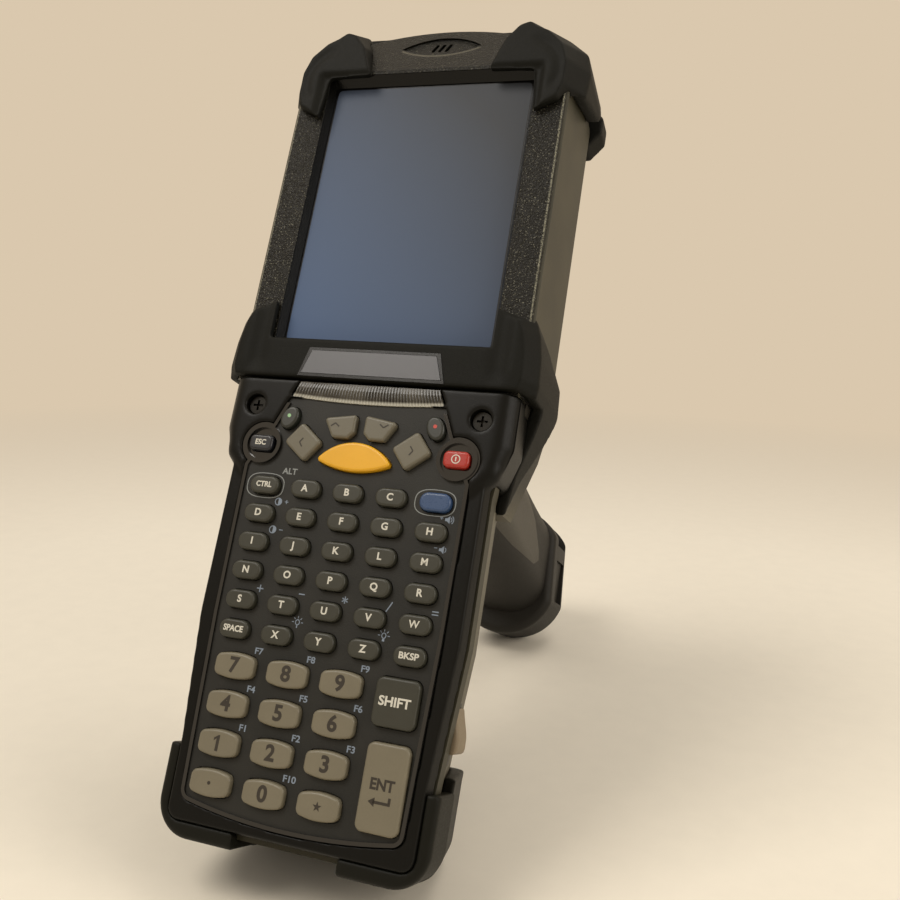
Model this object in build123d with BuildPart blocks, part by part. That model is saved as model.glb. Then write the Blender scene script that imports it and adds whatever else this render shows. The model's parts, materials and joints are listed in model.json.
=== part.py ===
from build123d import *
import os
from math import atan2, degrees

# A pistol-grip data terminal. Each piece is drawn in the body frame: X across the body, Y along it from
# the keypad end to the nose, Z out of the face with Z = 0 on the display glass. The last section stands
# the whole terminal on the back edge of its boot and the edge of its foot, with the origin under it.

# ---------------------------------------------------------------- driving dimensions, millimetres
SHELL = 2.0                  # wall of the housings
RUN = 0.25                   # clearance round a moving key or button
FIT = 0.1                    # clearance round a fixed insert

# heights on the face, above the glass
FACE = 2.8                   # bezel face of the display section
BEZEL_HEIGHT = 4.0           # keypad bezel and plate
EAR_TOP = 5.0
RUBBER_TOP = 5.5             # bumpers' front surface
KEY_TOP = 5.7

# keys, laid out from the keypad end towards the display
DIGIT_HEIGHT = 6.3
DIGIT_GAP = 3.5              # between two number keys of a row
DIGIT_BOW = 0.9
DIGIT_CORNER = 1.6
DIGIT_PITCH = 9.1
DIGIT_COLUMNS = 3
DIGIT_ROWS = 4
DIGIT_MARGIN = 14.67         # from the left side to the middle of the first number key
DIGIT_LAST = 12.3            # middle of the last row
LETTER = (8.0, 4.6)
LETTER_PITCH = 7.31
LETTER_MARGIN = 12.4         # from the side to the middle of the outer letter key
LETTER_COLUMNS = 5
LETTER_ROWS = 6
LETTER_STEP = 8.65           # from the first row of numbers to the last row of letters
SHIFT_KEY = (10.8, 11.2)
SHIFT_MARGIN = 13.7          # from the right side to its middle
SHIFT_STEP = -2.1            # from the first row of numbers
ENTER_KEY = (10.4, 19.4)
ENTER_MARGIN = 13.4
ENTER_STEP = 6.6             # from the last row of numbers
SCAN_CHORD = 20.4            # amber scan key
SCAN_STEP = 7.8              # from the first row of letters to the scan key's chord
SCAN_RISE = 5.2
SCAN_SAG = 2.3
WELL_INSET = 8.9             # round wells of the ESC and power keys, from the sides
WELL_STEP = 10.9
WELL_RADIUS = 4.25
WELL_RIM = 1.0
WELL_RIM_TOP = 4.9
WELL_KEY = (6.6, 4.2)
WELL_CORNER = 1.4
SIDE_ARROW_SIDE = 14.8
SIDE_ARROW_STEP = 12.0
SIDE_ARROW = 6.9
SIDE_ARROW_TILT = 52.0
UP_ARROW_SIDE = 5.5
UP_ARROW_STEP = 16.9
DOT_SIDE = 20.0
DOT_STEP = 18.2
DOT_KEY = (4.6, 6.2)
DOT_TILT = 22.0
ARROW_CORNER = 0.8
TALL_CORNER = 1.8
KEY_FLANGE = 0.8
KEY_FLANGE_REACH = 0.55
KEY_ROUND = 0.7
BAR_STEP = 23.9              # from the first row of letters to the light bar
BAR_HEIGHT = 4.6
BAR_LOW_WIDTH = 43.0
BAR_NARROWING = 4.0          # how much narrower its upper edge is
BAR_BOW = 0.9
BAR_LIFT = 0.6               # above the keypad plate

# keypad section
KEYPAD_WIDTH = 71.0
KEYPAD_END_NARROWING = 5.8   # how much narrower it is at the keypad end
KEYPAD_LOW = 0.5             # end face of the housing
KEYPAD_FLARE = 2.5           # each side is this much narrower than the display section at their meeting
TAPER_LOW = 20.0             # the sides widen from here
TAPER_HIGH = 52.0            # to here
PARTING_KEYPAD = -3.6
BACK = -36.0                 # back of the keypad section
BACK_INSET = 8.2             # each side narrows this much by the back
BEZEL_SLOPE = 15.0           # degrees
EAR_LENGTH = 21.5            # ears of the bezel, below the display section
EAR_INSET = 0.5              # inside the display section's sides
EAR_BACK = -8.0
EAR_ROUND = 3.4
PLATE = 1.4                  # keypad plate
PLATE_MARGIN = 1.55          # below the last row of numbers
PLATE_RIM = 0.5
PLATE_RIM_WIDTH = 0.9
MAT = 1.0
MAT_TOP = 0.5
KEYPAD_BOARD = 1.6
INSET = 4.6                  # mat and keypad board inside the housing's outline
INSET_STEP = 7.5             # their upper edge, below the display section
EDGE_KEYS = ("enter_key", "left_dot_key", "right_dot_key")

# keypad screws
SCREW_INSET = 4.5            # from the sides of the keypad section
SCREW_STEP = 7.3             # below the display section
SCREW_SEAT = 1.8
SCREW_RECESS = 2.7
SCREW_HEAD = 2.4
SCREW_HEAD_DEEP = 1.6
SCREW_SHANK = 1.25
SCREW_TIP = -6.5
SCREW_BOSS = 3.6
SCREW_SLOT = (2.8, 0.6)
SLOT_DEEP = 1.0

# display section, above the keypad section
HEAD_WIDTH = 80.0
CHIN = 12.0                  # from the keypad section to the window
WINDOW_WIDTH = 59.0          # visible display
WINDOW_HEIGHT = 79.0
NOSE = 20.0                  # from the window to the crown
CROWN_DROP = 11.6            # how far the nose falls away at the sides
HEAD_CORNER = 13.0
FACE_CHAMFER = 1.1
PARTING_HEAD = -28.0         # joint of front and rear housings, display section
HEAD_BACK = -48.0
HEAD_BACK_INSET = 9.0        # each side narrows this much by the back
CAP_LENGTH = 16.5            # the textured cap slopes back over this length
CAP_DROP = 6.0               # how far it has dropped at the crown
WINDOW_BEVEL = 1.2
LIP = 0.3                    # underside of the bezel above the glass
GLASS = 1.2
GLASS_MARGIN = 2.2           # how far the glass reaches under the bezel
DISPLAY_MODULE = 4.8
SLOT_STEP = 6.9              # speaker slots, below the crown
SLOT_PITCH = 2.0
SLOT = (3.5, 1.1)
SLOT_TILT = 72.0
SLOT_RECESS = 0.6            # depth of the shallow recess that they lie in
SLOT_RECESS_HALF = 12.0
SLOT_RECESS_STEP = 7.0       # its pointed ends, below the crown
SLOT_RECESS_SAG = 3.2        # how far its lower side bows from there
SLOT_RECESS_RISE = 4.2       # and its upper side
SPEAKER = 4.6
SPEAKER_STEP = 7.9
SPEAKER_DEEP = 2.4

# nameplate
NAME_STEP = 1.7              # above the keypad section
NAME_HEIGHT = 6.4
NAME_LOW_WIDTH = 38.8
NAME_HIGH_WIDTH = 34.6
NAME_THICK = 0.6

# main board, its posts and the rear screws
BOARD = 1.6
BOARD_TOP = -8.0
BOARD_INSET = 9.5            # from the sides of the keypad section
BOARD_LOW = 10.0
BOARD_STEP = 34.5            # its upper edge, below the crown
CHIP = (14.0, 1.2)
BAY_FLOOR = -14.0            # upper side of the battery bay's inner wall
BAY_WALL = 2.0
POST = 3.0
POST_INSET = 4.0             # from the edge of the board
BACK_SCREW_SIDE = 23.0
BACK_SCREW_HEAD = 2.4
BACK_SCREW_DEEP = 1.2
WIRE_HOLE = 6.0
CONNECTOR_HALF = 13.0
CONNECTOR_LOW = 0.3
CONNECTOR_LENGTH = 8.7
CONNECTOR_TOP = -5.0
CONNECTOR_BACK = -12.6

# rubber at the keypad end
END_GROW = 2.2               # end bumpers' thickness
END_CORNER = 9.0
END_HIGH = 19.5
END_NOTCH = 13.5             # half the gap between them
END_TOP = 3.4
END_BACK = -9.0
END_ROUND = 1.6
BOOT_HIGH = 22.5
BOOT_GROW = 3.6
BOOT_SLOPE = 2.0             # how much narrower it starts than it would at the keypad's face
BOOT_CORNER = 8.0
BOOT_LOW = -2.0
BOOT_BACK = -38.0
STAND_ROUND = 3.0            # radius of the two edges that the terminal stands on

# battery and its releases
BATTERY_INSET = 12.5         # from the sides of the keypad section
BATTERY_LOW = 5.3
BATTERY_STEP = 26.5          # its upper edge, below the display section
BATTERY_BACK = -38.0
BATTERY_GAP = 0.3
BATTERY_ROUND = 1.5
BUTTON_LOW = 28.0
BUTTON_LENGTH = 10.5
BUTTON_TOP = -4.4
BUTTON_BACK = -12.4
BUTTON_STEP = 1.6            # its inner face, outside the room for the main board
BUTTON_REACH = 6.3
BUTTON_FLANGE = 1.2          # thickness of its inner flange
BUTTON_FLANGE_REACH = 1.0
BUTTON_ROUND = 0.8
LATCH = (16.0, 7.0)
LATCH_STEP = 11.0            # its middle, below the battery's upper edge
LATCH_TRAVEL = 3.0
LATCH_DEEP = 1.6
LATCH_GAP = 0.3
LATCH_RIB = 0.8
LATCH_RIB_PITCH = 1.8

# nose: scan window, engine, bracket, bumper
EXIT_WIDTH = 42.0            # scan window
EXIT_TOP = -8.0
EXIT_BACK = -26.0
WINDOW_GLASS = 1.4
WINDOW_INSET = 0.4
ENGINE_HALF = 17.0
ENGINE_LENGTH = 19.0
ENGINE_STEP = 11.5           # its front, below the crown
ENGINE_TOP = -11.4
ENGINE_APERTURE = (24.0, 8.0)
BRACKET = 1.2
BRACKET_TOP = -26.6
BRACKET_LENGTH = 16.0
BRACKET_POST_INSET = 5.7     # from the sides of the display section
BRACKET_POST_STEP = 21.5
BRACKET_POST = 2.4
NOSE_GROW = 2.0              # rubber beyond the crown
NOSE_LOBE_GROW = 3.0         # and beyond the sides
NOSE_LOBE_LENGTH = 21.5
NOSE_LOBE_TOP = -30.0
NOSE_LOBE_BACK = -38.0

# top corner bumpers: (outside the display section, above the window) on the front and at its slope's end
BUMPER_BACK = -30.0
CORNER_DEEP = -3.0
CORNER_FRONT = [
    (-9.8, 0.5),
    (-8.4, -12.0),
    (-2.4, -8.7),
    (-1.4, -4.5),
    (-1.4, 2.5),
    (-3.2, 7.5),
    (-7.4, 11.7),
    (-10.4, 13.1),
    (-12.8, 14.9),
    (-15.6, 13.9),
    (-19.2, 9.7),
    (-22.5, 0.9),
]
CORNER_SIDE = [
    (-9.8, 0.9),
    (-9.0, -12.0),
    (-1.0, -9.5),
    (3.4, -4.0),
    (4.0, 3.5),
    (2.6, 9.5),
    (-2.6, 13.9),
    (-8.6, 17.3),
    (-12.2, 19.9),
    (-15.8, 19.3),
    (-19.2, 13.5),
    (-22.5, 1.3),
]
CORNER_SLANT = [(-5.0, 0.0), (1.5, -22.0), (15.5, -31.0), (-24.5, -31.0), (-24.5, 0.0)]

# collar: (outside the display section, above the keypad section)
COLLAR_DEEP = 1.2            # the front's slope ends here
COLLAR_FRONT = [(-1.2, 0.8), (-0.4, 3.5), (-0.6, 10.5), (-1.6, 15.9), (-3.4, 18.9), (-9.0, 21.9)]
COLLAR_SIDE = [(2.0, 0.0), (3.2, 3.5), (2.8, 10.5), (1.8, 16.5), (0.2, 20.9), (-8.8, 22.9)]
COLLAR_LOW = 11.5            # the band's edge under the window
WING = [(-3.4, -29.5), (-1.6, -17.5), (1.6, -6.5), (2.6, -2.0)]
WING_BACK = -25.0
WING_SLANT = [(20.9, 1.2), (11.5, -25.0), (2.0, -25.0), (-3.5, -21.5), (-13.5, -16.5), (-28.1, -8.6)]

# handle
NECK_LENGTH = 60.0
NECK_WIDTH = 46.0
NECK_CORNER = 15.0
GRIP_TOP = -54.0
GRIP_HEIGHT = 112.0
GRIP_STEP = 6.5              # middle of the grip at its top, above the keypad section
GRIP_RAKE = 25.5             # how far it has moved towards the keypad at its lower end
GRIP_WIDTH = 31.0
GRIP_LENGTH = 40.0
GRIP_CORNER = 13.5
GRIP_WAIST_STEP = 58.0       # from the top to the narrowest place
GRIP_WALL = 2.6
FOOT_HEIGHT = 27.0
FOOT_LOWER = 21.0            # its underside, below the end of the grip
FOOT_FRONT = 28.5            # it reaches this far towards the keypad
FOOT_REAR = 23.5             # and this far towards the nose
FOOT_WIDTH = 40.0
FOOT_CORNER = 5.0
EYE = 2.5                    # radius of the strap eye
EYE_HALF = 3.0
EYE_STEP = (17.5, -9.5)      # from the middle of the grip's lower end
HANDLE_SCREW = 2.3
HANDLE_SCREW_SEAT = 13.4
HANDLE_SCREW_DEEP = 0.9

# trigger
TRIGGER_WIDTH = 12.6
TRIGGER_PIN = 1.5            # radius
TRIGGER_RUN = 0.04           # running fit of the trigger on its pin
TRIGGER_STEP = (11.0, -7.0)  # from the middle of the grip's top to the pin
TRIGGER_CORNER = 2.0
TRIGGER_ROUND = 1.8
PIN_HALF = 11.0
BOSS = 3.4
SPRING = 2.8
SPRING_GAP = 0.3

# ---------------------------------------------------------------- derived places
LETTER_SIDE = KEYPAD_WIDTH / 2 - LETTER_MARGIN
DIGIT_SIDE = KEYPAD_WIDTH / 2 - DIGIT_MARGIN
DIGIT_ACROSS = (KEYPAD_WIDTH / 2 - SHIFT_MARGIN - 0.24 + DIGIT_SIDE) / DIGIT_COLUMNS
DIGIT_WIDTH = DIGIT_ACROSS - DIGIT_GAP
DIGIT_FIRST = DIGIT_LAST + (DIGIT_ROWS - 1) * DIGIT_PITCH
LETTER_FIRST = DIGIT_FIRST + LETTER_STEP + (LETTER_ROWS - 1) * LETTER_PITCH
SHIFT_AT = (KEYPAD_WIDTH / 2 - SHIFT_MARGIN, DIGIT_FIRST + SHIFT_STEP)
ENTER_AT = (KEYPAD_WIDTH / 2 - ENTER_MARGIN, DIGIT_LAST + ENTER_STEP)
WELL_SIDE = KEYPAD_WIDTH / 2 - WELL_INSET
BAR_LOW = LETTER_FIRST + BAR_STEP
BAR_HIGH = BAR_LOW + BAR_HEIGHT
BAR_HIGH_WIDTH = BAR_LOW_WIDTH - BAR_NARROWING
HEAD_LOW = BAR_HIGH + 2 * FIT            # where the display section meets the keypad section
WINDOW_CENTRE = HEAD_LOW + CHIN + WINDOW_HEIGHT / 2
WINDOW_HIGH = WINDOW_CENTRE + WINDOW_HEIGHT / 2
HEAD_CROWN = WINDOW_HIGH + NOSE
NAME_LOW = HEAD_LOW + NAME_STEP
CAP_LOW = HEAD_CROWN - CAP_LENGTH
NOSE_REACH = HEAD_CROWN + NOSE_GROW
NOSE_LOBE_HALF = HEAD_WIDTH / 2 + NOSE_LOBE_GROW
NOSE_LOBE_LOW = HEAD_CROWN - NOSE_LOBE_LENGTH
BRACKET_POST_SIDE = HEAD_WIDTH / 2 - BRACKET_POST_INSET
EAR_LOW = HEAD_LOW - EAR_LENGTH
EAR_HALF = HEAD_WIDTH / 2 - EAR_INSET
KEYPAD_END_WIDTH = KEYPAD_WIDTH - KEYPAD_END_NARROWING
GLASS_HALF = (WINDOW_WIDTH / 2 + GLASS_MARGIN, WINDOW_HEIGHT / 2 + GLASS_MARGIN)
PLATE_BACK = BEZEL_HEIGHT - PLATE
PLATE_LOW = DIGIT_LAST - DIGIT_HEIGHT / 2 - PLATE_MARGIN
TRAY_TOP = MAT_TOP - MAT - KEYPAD_BOARD
KEY_FLANGE_TOP = PLATE_BACK - 0.2
INSET_TOP = HEAD_LOW - INSET_STEP
BOARD_HIGH = HEAD_CROWN - BOARD_STEP
BOARD_BACK = BOARD_TOP - BOARD
BOARD_HALF = KEYPAD_WIDTH / 2 - BOARD_INSET
CAVITY_HALF = BOARD_HALF + 1
POST_SIDE = BOARD_HALF - POST_INSET
BAY_BACK = BAY_FLOOR - BAY_WALL
BATTERY_HALF = KEYPAD_WIDTH / 2 - BATTERY_INSET
BATTERY_HIGH = HEAD_LOW - BATTERY_STEP
BUTTON_HIGH = BUTTON_LOW + BUTTON_LENGTH
BUTTON_IN = CAVITY_HALF + BUTTON_STEP
BUTTON_OUT = BUTTON_IN + BUTTON_REACH
LATCH_AT = BATTERY_HIGH - LATCH_STEP
GRIP_END = GRIP_TOP - GRIP_HEIGHT
GRIP_WAIST = GRIP_TOP - GRIP_WAIST_STEP
GRIP_TOP_AT = HEAD_LOW + GRIP_STEP
GRIP_END_AT = GRIP_TOP_AT - GRIP_RAKE
FOOT_BACK = GRIP_END - FOOT_LOWER
FOOT_TOP = FOOT_BACK + FOOT_HEIGHT
FOOT_LOW = GRIP_END_AT - FOOT_FRONT
FOOT_HIGH = GRIP_END_AT + FOOT_REAR
EYE_AT = (GRIP_END_AT + EYE_STEP[0], GRIP_END + EYE_STEP[1])
TRIGGER_PIN_AT = (GRIP_TOP_AT + TRIGGER_STEP[0], GRIP_TOP + TRIGGER_STEP[1])
SWITCH = ((-4.0, 4.0), (GRIP_TOP_AT - 10.0, GRIP_TOP_AT + 0.6), (GRIP_TOP - 40.0, GRIP_TOP - 30.0))
HANDLE_SCREWS = [(GRIP_TOP_AT - 9.0, GRIP_TOP - 8.0), (GRIP_TOP_AT - 16.0, GRIP_TOP - 72.0)]
CONNECTOR = (
    (-CONNECTOR_HALF, CONNECTOR_HALF),
    (CONNECTOR_LOW, CONNECTOR_LOW + CONNECTOR_LENGTH),
    (CONNECTOR_BACK, CONNECTOR_TOP),
)
ENGINE = (
    (-ENGINE_HALF, ENGINE_HALF),
    (HEAD_CROWN - ENGINE_STEP - ENGINE_LENGTH, HEAD_CROWN - ENGINE_STEP),
    (BRACKET_TOP, ENGINE_TOP),
)

screw_spots = [(side * (KEYPAD_WIDTH / 2 - SCREW_INSET), HEAD_LOW - SCREW_STEP) for side in (-1, 1)]
bracket_posts = [(side * BRACKET_POST_SIDE, HEAD_CROWN - BRACKET_POST_STEP) for side in (-1, 1)]
wells = [(side * WELL_SIDE, LETTER_FIRST + WELL_STEP) for side in (-1, 1)]
head_posts = [(side * POST_SIDE, HEAD_LOW + step) for side in (-1, 1) for step in (26.5, 68.5)]
keypad_posts = [(side * POST_SIDE, v) for side in (-1, 1) for v in (BOARD_LOW + 6, BATTERY_HIGH - POST)]
back_screws = [
    (side * BACK_SCREW_SIDE, v) for side in (-1, 1) for v in (HEAD_LOW + 16.5, HEAD_CROWN - 19.5)
]

pieces = {}


def keep(name, part):
    """Keep a finished piece under its node's name."""
    part.label = name
    pieces[name] = part


def mirrored(points):
    """The closed outline through the right-hand points, bottom to top, and their mirror images."""
    return [*points, *[(-x, y) for x, y in reversed(points)]]


def head_outline(inset=0.0, low=HEAD_LOW):
    """Outline of the display section: straight sides, rounded corners and a crowned nose."""
    half = HEAD_WIDTH / 2 - inset
    side_top = HEAD_CROWN - CROWN_DROP - inset
    with BuildSketch() as outline:
        with BuildLine():
            Polyline((-half, side_top), (-half, low), (half, low), (half, side_top))
            ThreePointArc((half, side_top), (0, HEAD_CROWN - inset), (-half, side_top))
        make_face()
        fillet(outline.vertices().group_by(Axis.Y)[-1], HEAD_CORNER - inset)
    return outline.sketch


def keypad_outline(inset=0.0, end_inset=0.0, high=HEAD_LOW, flare=True, corner=4.0):
    """Outline of the keypad section: narrower at the end, flared where it meets the display section."""
    half = KEYPAD_WIDTH / 2 - inset
    end_half = KEYPAD_END_WIDTH / 2 - inset
    head_half = HEAD_WIDTH / 2 - KEYPAD_FLARE - inset if flare else half
    points = [
        (end_half, KEYPAD_LOW + end_inset),
        (end_half + 0.3, TAPER_LOW),
        (half, TAPER_HIGH),
        (half, HEAD_LOW - 25.5),
        (head_half, HEAD_LOW - 9.5),
        (head_half, high),
    ]
    if not flare:
        points = [*points[:3], (half, high)]
    with BuildSketch() as outline:
        with BuildLine():
            Polyline(*mirrored(points), close=True)
        make_face()
        fillet(outline.vertices().group_by(Axis.Y)[0], corner)
    return outline.sketch


def end_outline(inset, end_inset, high, corner):
    """The keypad end of the outline only, up to a height along the body."""
    with BuildSketch() as outline:
        add(keypad_outline(inset, end_inset, corner=corner))
        with Locations((0, high + HEAD_LOW)):
            Rectangle(2 * HEAD_LOW, 2 * HEAD_LOW, mode=Mode.SUBTRACT)
    return outline.sketch


def board_outline(grow=0.0):
    """The mat and the board under the keys, notched round the two keypad screws."""
    with BuildSketch() as outline:
        add(keypad_outline(INSET - grow, INSET - grow, INSET_TOP + grow, flare=False))
        with Locations(*screw_spots):
            Circle(SCREW_BOSS + FIT - grow, mode=Mode.SUBTRACT)
    return outline.sketch


def side_prism(points, half_width):
    """A profile in the side view, given as (along the body, out of the face), across the body."""
    with BuildPart() as prism:
        with BuildSketch(Plane.YZ):
            with BuildLine():
                Polyline(*points, close=True)
            make_face()
        extrude(amount=half_width, both=True)
    return prism.part


def front_prism(points, low, high, corner=0.0):
    """A profile in the front view, extruded between two heights above the glass."""
    with BuildPart() as prism:
        with BuildSketch(Plane.XY.offset(low)) as profile:
            with BuildLine():
                Polyline(*points, close=True)
            make_face()
            if corner:
                fillet(profile.vertices(), corner)
        extrude(amount=high - low)
    return prism.part


def block(x, y, z):
    """A box between two limits on each axis."""
    size = (x[1] - x[0], y[1] - y[0], z[1] - z[0])
    centre = Pos((x[0] + x[1]) / 2, (y[0] + y[1]) / 2, (z[0] + z[1]) / 2)
    return centre * Box(*size, mode=Mode.PRIVATE)


def cap_prism(top):
    """Everything above the sloping cap, for a face at the given height."""
    return side_prism(
        [
            (CAP_LOW, top),
            (HEAD_CROWN, top - CAP_DROP),
            (HEAD_CROWN + 10, top - CAP_DROP - 4),
            (HEAD_CROWN + 10, top + 10),
            (CAP_LOW, top + 10),
        ],
        HEAD_WIDTH,
    )


# ---------------------------------------------------------------- outer forms of the housings
with BuildPart() as head_form:
    with BuildSketch(Plane.XY.offset(PARTING_HEAD)):
        add(head_outline())
    extrude(amount=FACE - PARTING_HEAD)
    chamfer(head_form.edges().group_by(Axis.Z)[-1].filter_by(Axis.Y), FACE_CHAMFER)
    add(cap_prism(FACE), mode=Mode.SUBTRACT)

with BuildPart() as tray_form:
    with BuildSketch(Plane.XY.offset(PARTING_KEYPAD)):
        add(keypad_outline())
    extrude(amount=-PARTING_KEYPAD)

with BuildPart() as back_form:
    # keypad section
    with BuildSketch(Plane.XY.offset(BACK)):
        add(keypad_outline(BACK_INSET, 1.5))
    with BuildSketch(Plane.XY.offset(PARTING_KEYPAD)):
        add(keypad_outline())
    loft()
    # display section
    with BuildSketch(Plane.XY.offset(HEAD_BACK)):
        add(head_outline(HEAD_BACK_INSET))
    with BuildSketch(Plane.XY.offset(PARTING_HEAD)):
        add(head_outline())
    loft()
    # shoulders under the collar
    shoulder = [
        (KEYPAD_WIDTH / 2 - KEYPAD_FLARE, HEAD_LOW - 25.5),
        (HEAD_WIDTH / 2 - 1.8, HEAD_LOW - 8.5),
        (HEAD_WIDTH / 2 - 0.4, HEAD_LOW),
    ]
    add(front_prism(mirrored(shoulder), PARTING_HEAD - SHELL, PARTING_KEYPAD))
    # neck of the handle
    with BuildSketch(Plane.XY.offset(GRIP_TOP)):
        with Locations((0, GRIP_TOP_AT)):
            RectangleRounded(GRIP_WIDTH + 4, GRIP_LENGTH + 8, 13)
    with BuildSketch(Plane.XY.offset(BACK)):
        with Locations((0, GRIP_TOP_AT + 2)):
            RectangleRounded(NECK_WIDTH, NECK_LENGTH, NECK_CORNER)
    loft()

with BuildPart() as bezel_form:
    with BuildSketch():
        add(keypad_outline(0.2, 1.0, EAR_LOW + 4, flare=False))
    extrude(amount=BEZEL_HEIGHT, taper=BEZEL_SLOPE)
    ear_points = [
        (KEYPAD_WIDTH / 2 - 4, EAR_LOW - 6),
        (KEYPAD_WIDTH / 2 + 1.5, EAR_LOW),
        (EAR_HALF, EAR_LOW + 8),
        (EAR_HALF, HEAD_LOW),
    ]
    with BuildSketch(Plane.XY.offset(EAR_BACK)):
        with BuildLine():
            Polyline(*mirrored(ear_points), close=True)
        make_face()
    extrude(amount=EAR_TOP - EAR_BACK)
    fillet(
        bezel_form.edges().filter_by(GeomType.LINE).group_by(Axis.Z)[-1].filter_by(
            lambda e: abs(e.center().X) > KEYPAD_WIDTH / 2 - 3.5
        ),
        EAR_ROUND,
    )

# ---------------------------------------------------------------- keypad outlines


def plate_outline(inset=0.0):
    """The keypad plate: bowed end, rounded corners, bulges round the two wells, narrow neck at the bar."""
    with BuildSketch() as outline:
        with BuildLine():
            right = [
                (KEYPAD_END_WIDTH / 2 - 4, PLATE_LOW),
                (KEYPAD_WIDTH / 2 - 5.3, TAPER_HIGH),
                (KEYPAD_WIDTH / 2 - 4.9, BAR_LOW - 18.7),
                (BAR_LOW_WIDTH / 2 + 3.1, BAR_LOW - 7.2),
                (BAR_LOW_WIDTH / 2, BAR_LOW),
            ]
            Polyline(*mirrored(right))
            ThreePointArc((-right[0][0], PLATE_LOW), (0, PLATE_LOW - 2.9), right[0])
        make_face()
        fillet(outline.vertices().group_by(Axis.Y)[0], 3.0)
        with Locations(*wells):
            Circle(WELL_RADIUS + WELL_RIM + 0.6)
        if inset:
            offset(amount=-inset, kind=Kind.INTERSECTION)
    return outline.sketch


def bar_outline(grow=0.0):
    """The light bar: a trapezium whose lower edge is bowed towards the keys."""
    low = BAR_LOW_WIDTH / 2 + grow
    high = BAR_HIGH_WIDTH / 2 + grow
    with BuildSketch() as outline:
        with BuildLine():
            Polyline((low, BAR_LOW + 0.4), (high, BAR_HIGH), (-high, BAR_HIGH), (-low, BAR_LOW + 0.4))
            ThreePointArc(
                (-low, BAR_LOW + 0.4), (0, BAR_LOW + 0.4 - BAR_BOW), (low, BAR_LOW + 0.4)
            )
        make_face()
    return outline.sketch


def letter_shape(grow):
    """An oval letter key."""
    with BuildSketch() as shape:
        RectangleRounded(LETTER[0] + 2 * grow, LETTER[1] + 2 * grow, LETTER[1] / 2 - 0.1 + grow)
    return shape.sketch


def digit_shape(grow):
    """A number key: straight ends, bowed long sides."""
    half = DIGIT_WIDTH / 2 + grow
    top = DIGIT_HEIGHT / 2 + grow
    side = top - DIGIT_BOW
    with BuildSketch() as shape:
        with BuildLine():
            Line((half, -side), (half, side))
            ThreePointArc((half, side), (0, top), (-half, side))
            Line((-half, side), (-half, -side))
            ThreePointArc((-half, -side), (0, -top), (half, -side))
        make_face()
        fillet(shape.vertices(), DIGIT_CORNER + grow)
    return shape.sketch


def well_shape(grow):
    """The small rounded key in a round well."""
    with BuildSketch() as shape:
        RectangleRounded(WELL_KEY[0] + 2 * grow, WELL_KEY[1] + 2 * grow, WELL_CORNER + grow)
    return shape.sketch


def dot_shape(grow):
    """An upright oval key."""
    with BuildSketch() as shape:
        Ellipse(DOT_KEY[0] / 2 + grow, DOT_KEY[1] / 2 + grow)
    return shape.sketch


def side_arrow_shape(grow):
    """A nearly square key, turned on its corner when placed."""
    side = SIDE_ARROW + 2 * grow
    with BuildSketch() as shape:
        RectangleRounded(side, side + 1, 1.0 + grow)
    return shape.sketch


def up_arrow_shape(grow):
    """A block that is wide at the top and narrows towards the scan key."""
    with BuildSketch() as shape:
        with BuildLine():
            Polyline((-4.6, 1.9), (4.3, 3.3), (4.3, -1.4), (2.6, -3.1), (-1.6, -3.1), close=True)
        make_face()
        fillet(shape.vertices(), ARROW_CORNER)
        if grow:
            offset(amount=grow)
    return shape.sketch


def down_arrow_shape(grow):
    """The mirror image of the up key."""
    return up_arrow_shape(grow).mirror(Plane.YZ)


def shift_shape(grow):
    """The tall SHIFT key."""
    with BuildSketch() as shape:
        RectangleRounded(SHIFT_KEY[0] + 2 * grow, SHIFT_KEY[1] + 2 * grow, TALL_CORNER + grow)
    return shape.sketch


def enter_shape(grow):
    """The taller ENT key."""
    with BuildSketch() as shape:
        RectangleRounded(ENTER_KEY[0] + 2 * grow, ENTER_KEY[1] + 2 * grow, TALL_CORNER + grow)
    return shape.sketch


def scan_shape(grow):
    """The lens-shaped scan key, centred on its chord."""
    half = SCAN_CHORD / 2
    with BuildSketch() as shape:
        with BuildLine():
            ThreePointArc((half, 0), (0, SCAN_RISE), (-half, 0))
            ThreePointArc((-half, 0), (0, -SCAN_SAG), (half, 0))
        make_face()
        fillet(shape.vertices(), 0.8)
        if grow:
            offset(amount=grow)
    return shape.sketch


def letter_places(row):
    """Places of one row of letter keys, the first row nearest the scan key."""
    pitch = 2 * LETTER_SIDE / (LETTER_COLUMNS - 1)
    y = LETTER_FIRST - LETTER_PITCH * row
    return [Location((c * pitch - LETTER_SIDE, y)) for c in range(LETTER_COLUMNS)]


def digit_places(row):
    """Places of one row of number keys."""
    y = DIGIT_FIRST - DIGIT_PITCH * row
    return [Location((c * DIGIT_ACROSS - DIGIT_SIDE, y)) for c in range(DIGIT_COLUMNS)]


def key_place(x, step, tilt=0.0):
    """A place above the first row of letter keys."""
    return [Location((x, LETTER_FIRST + step), tilt)]


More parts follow.
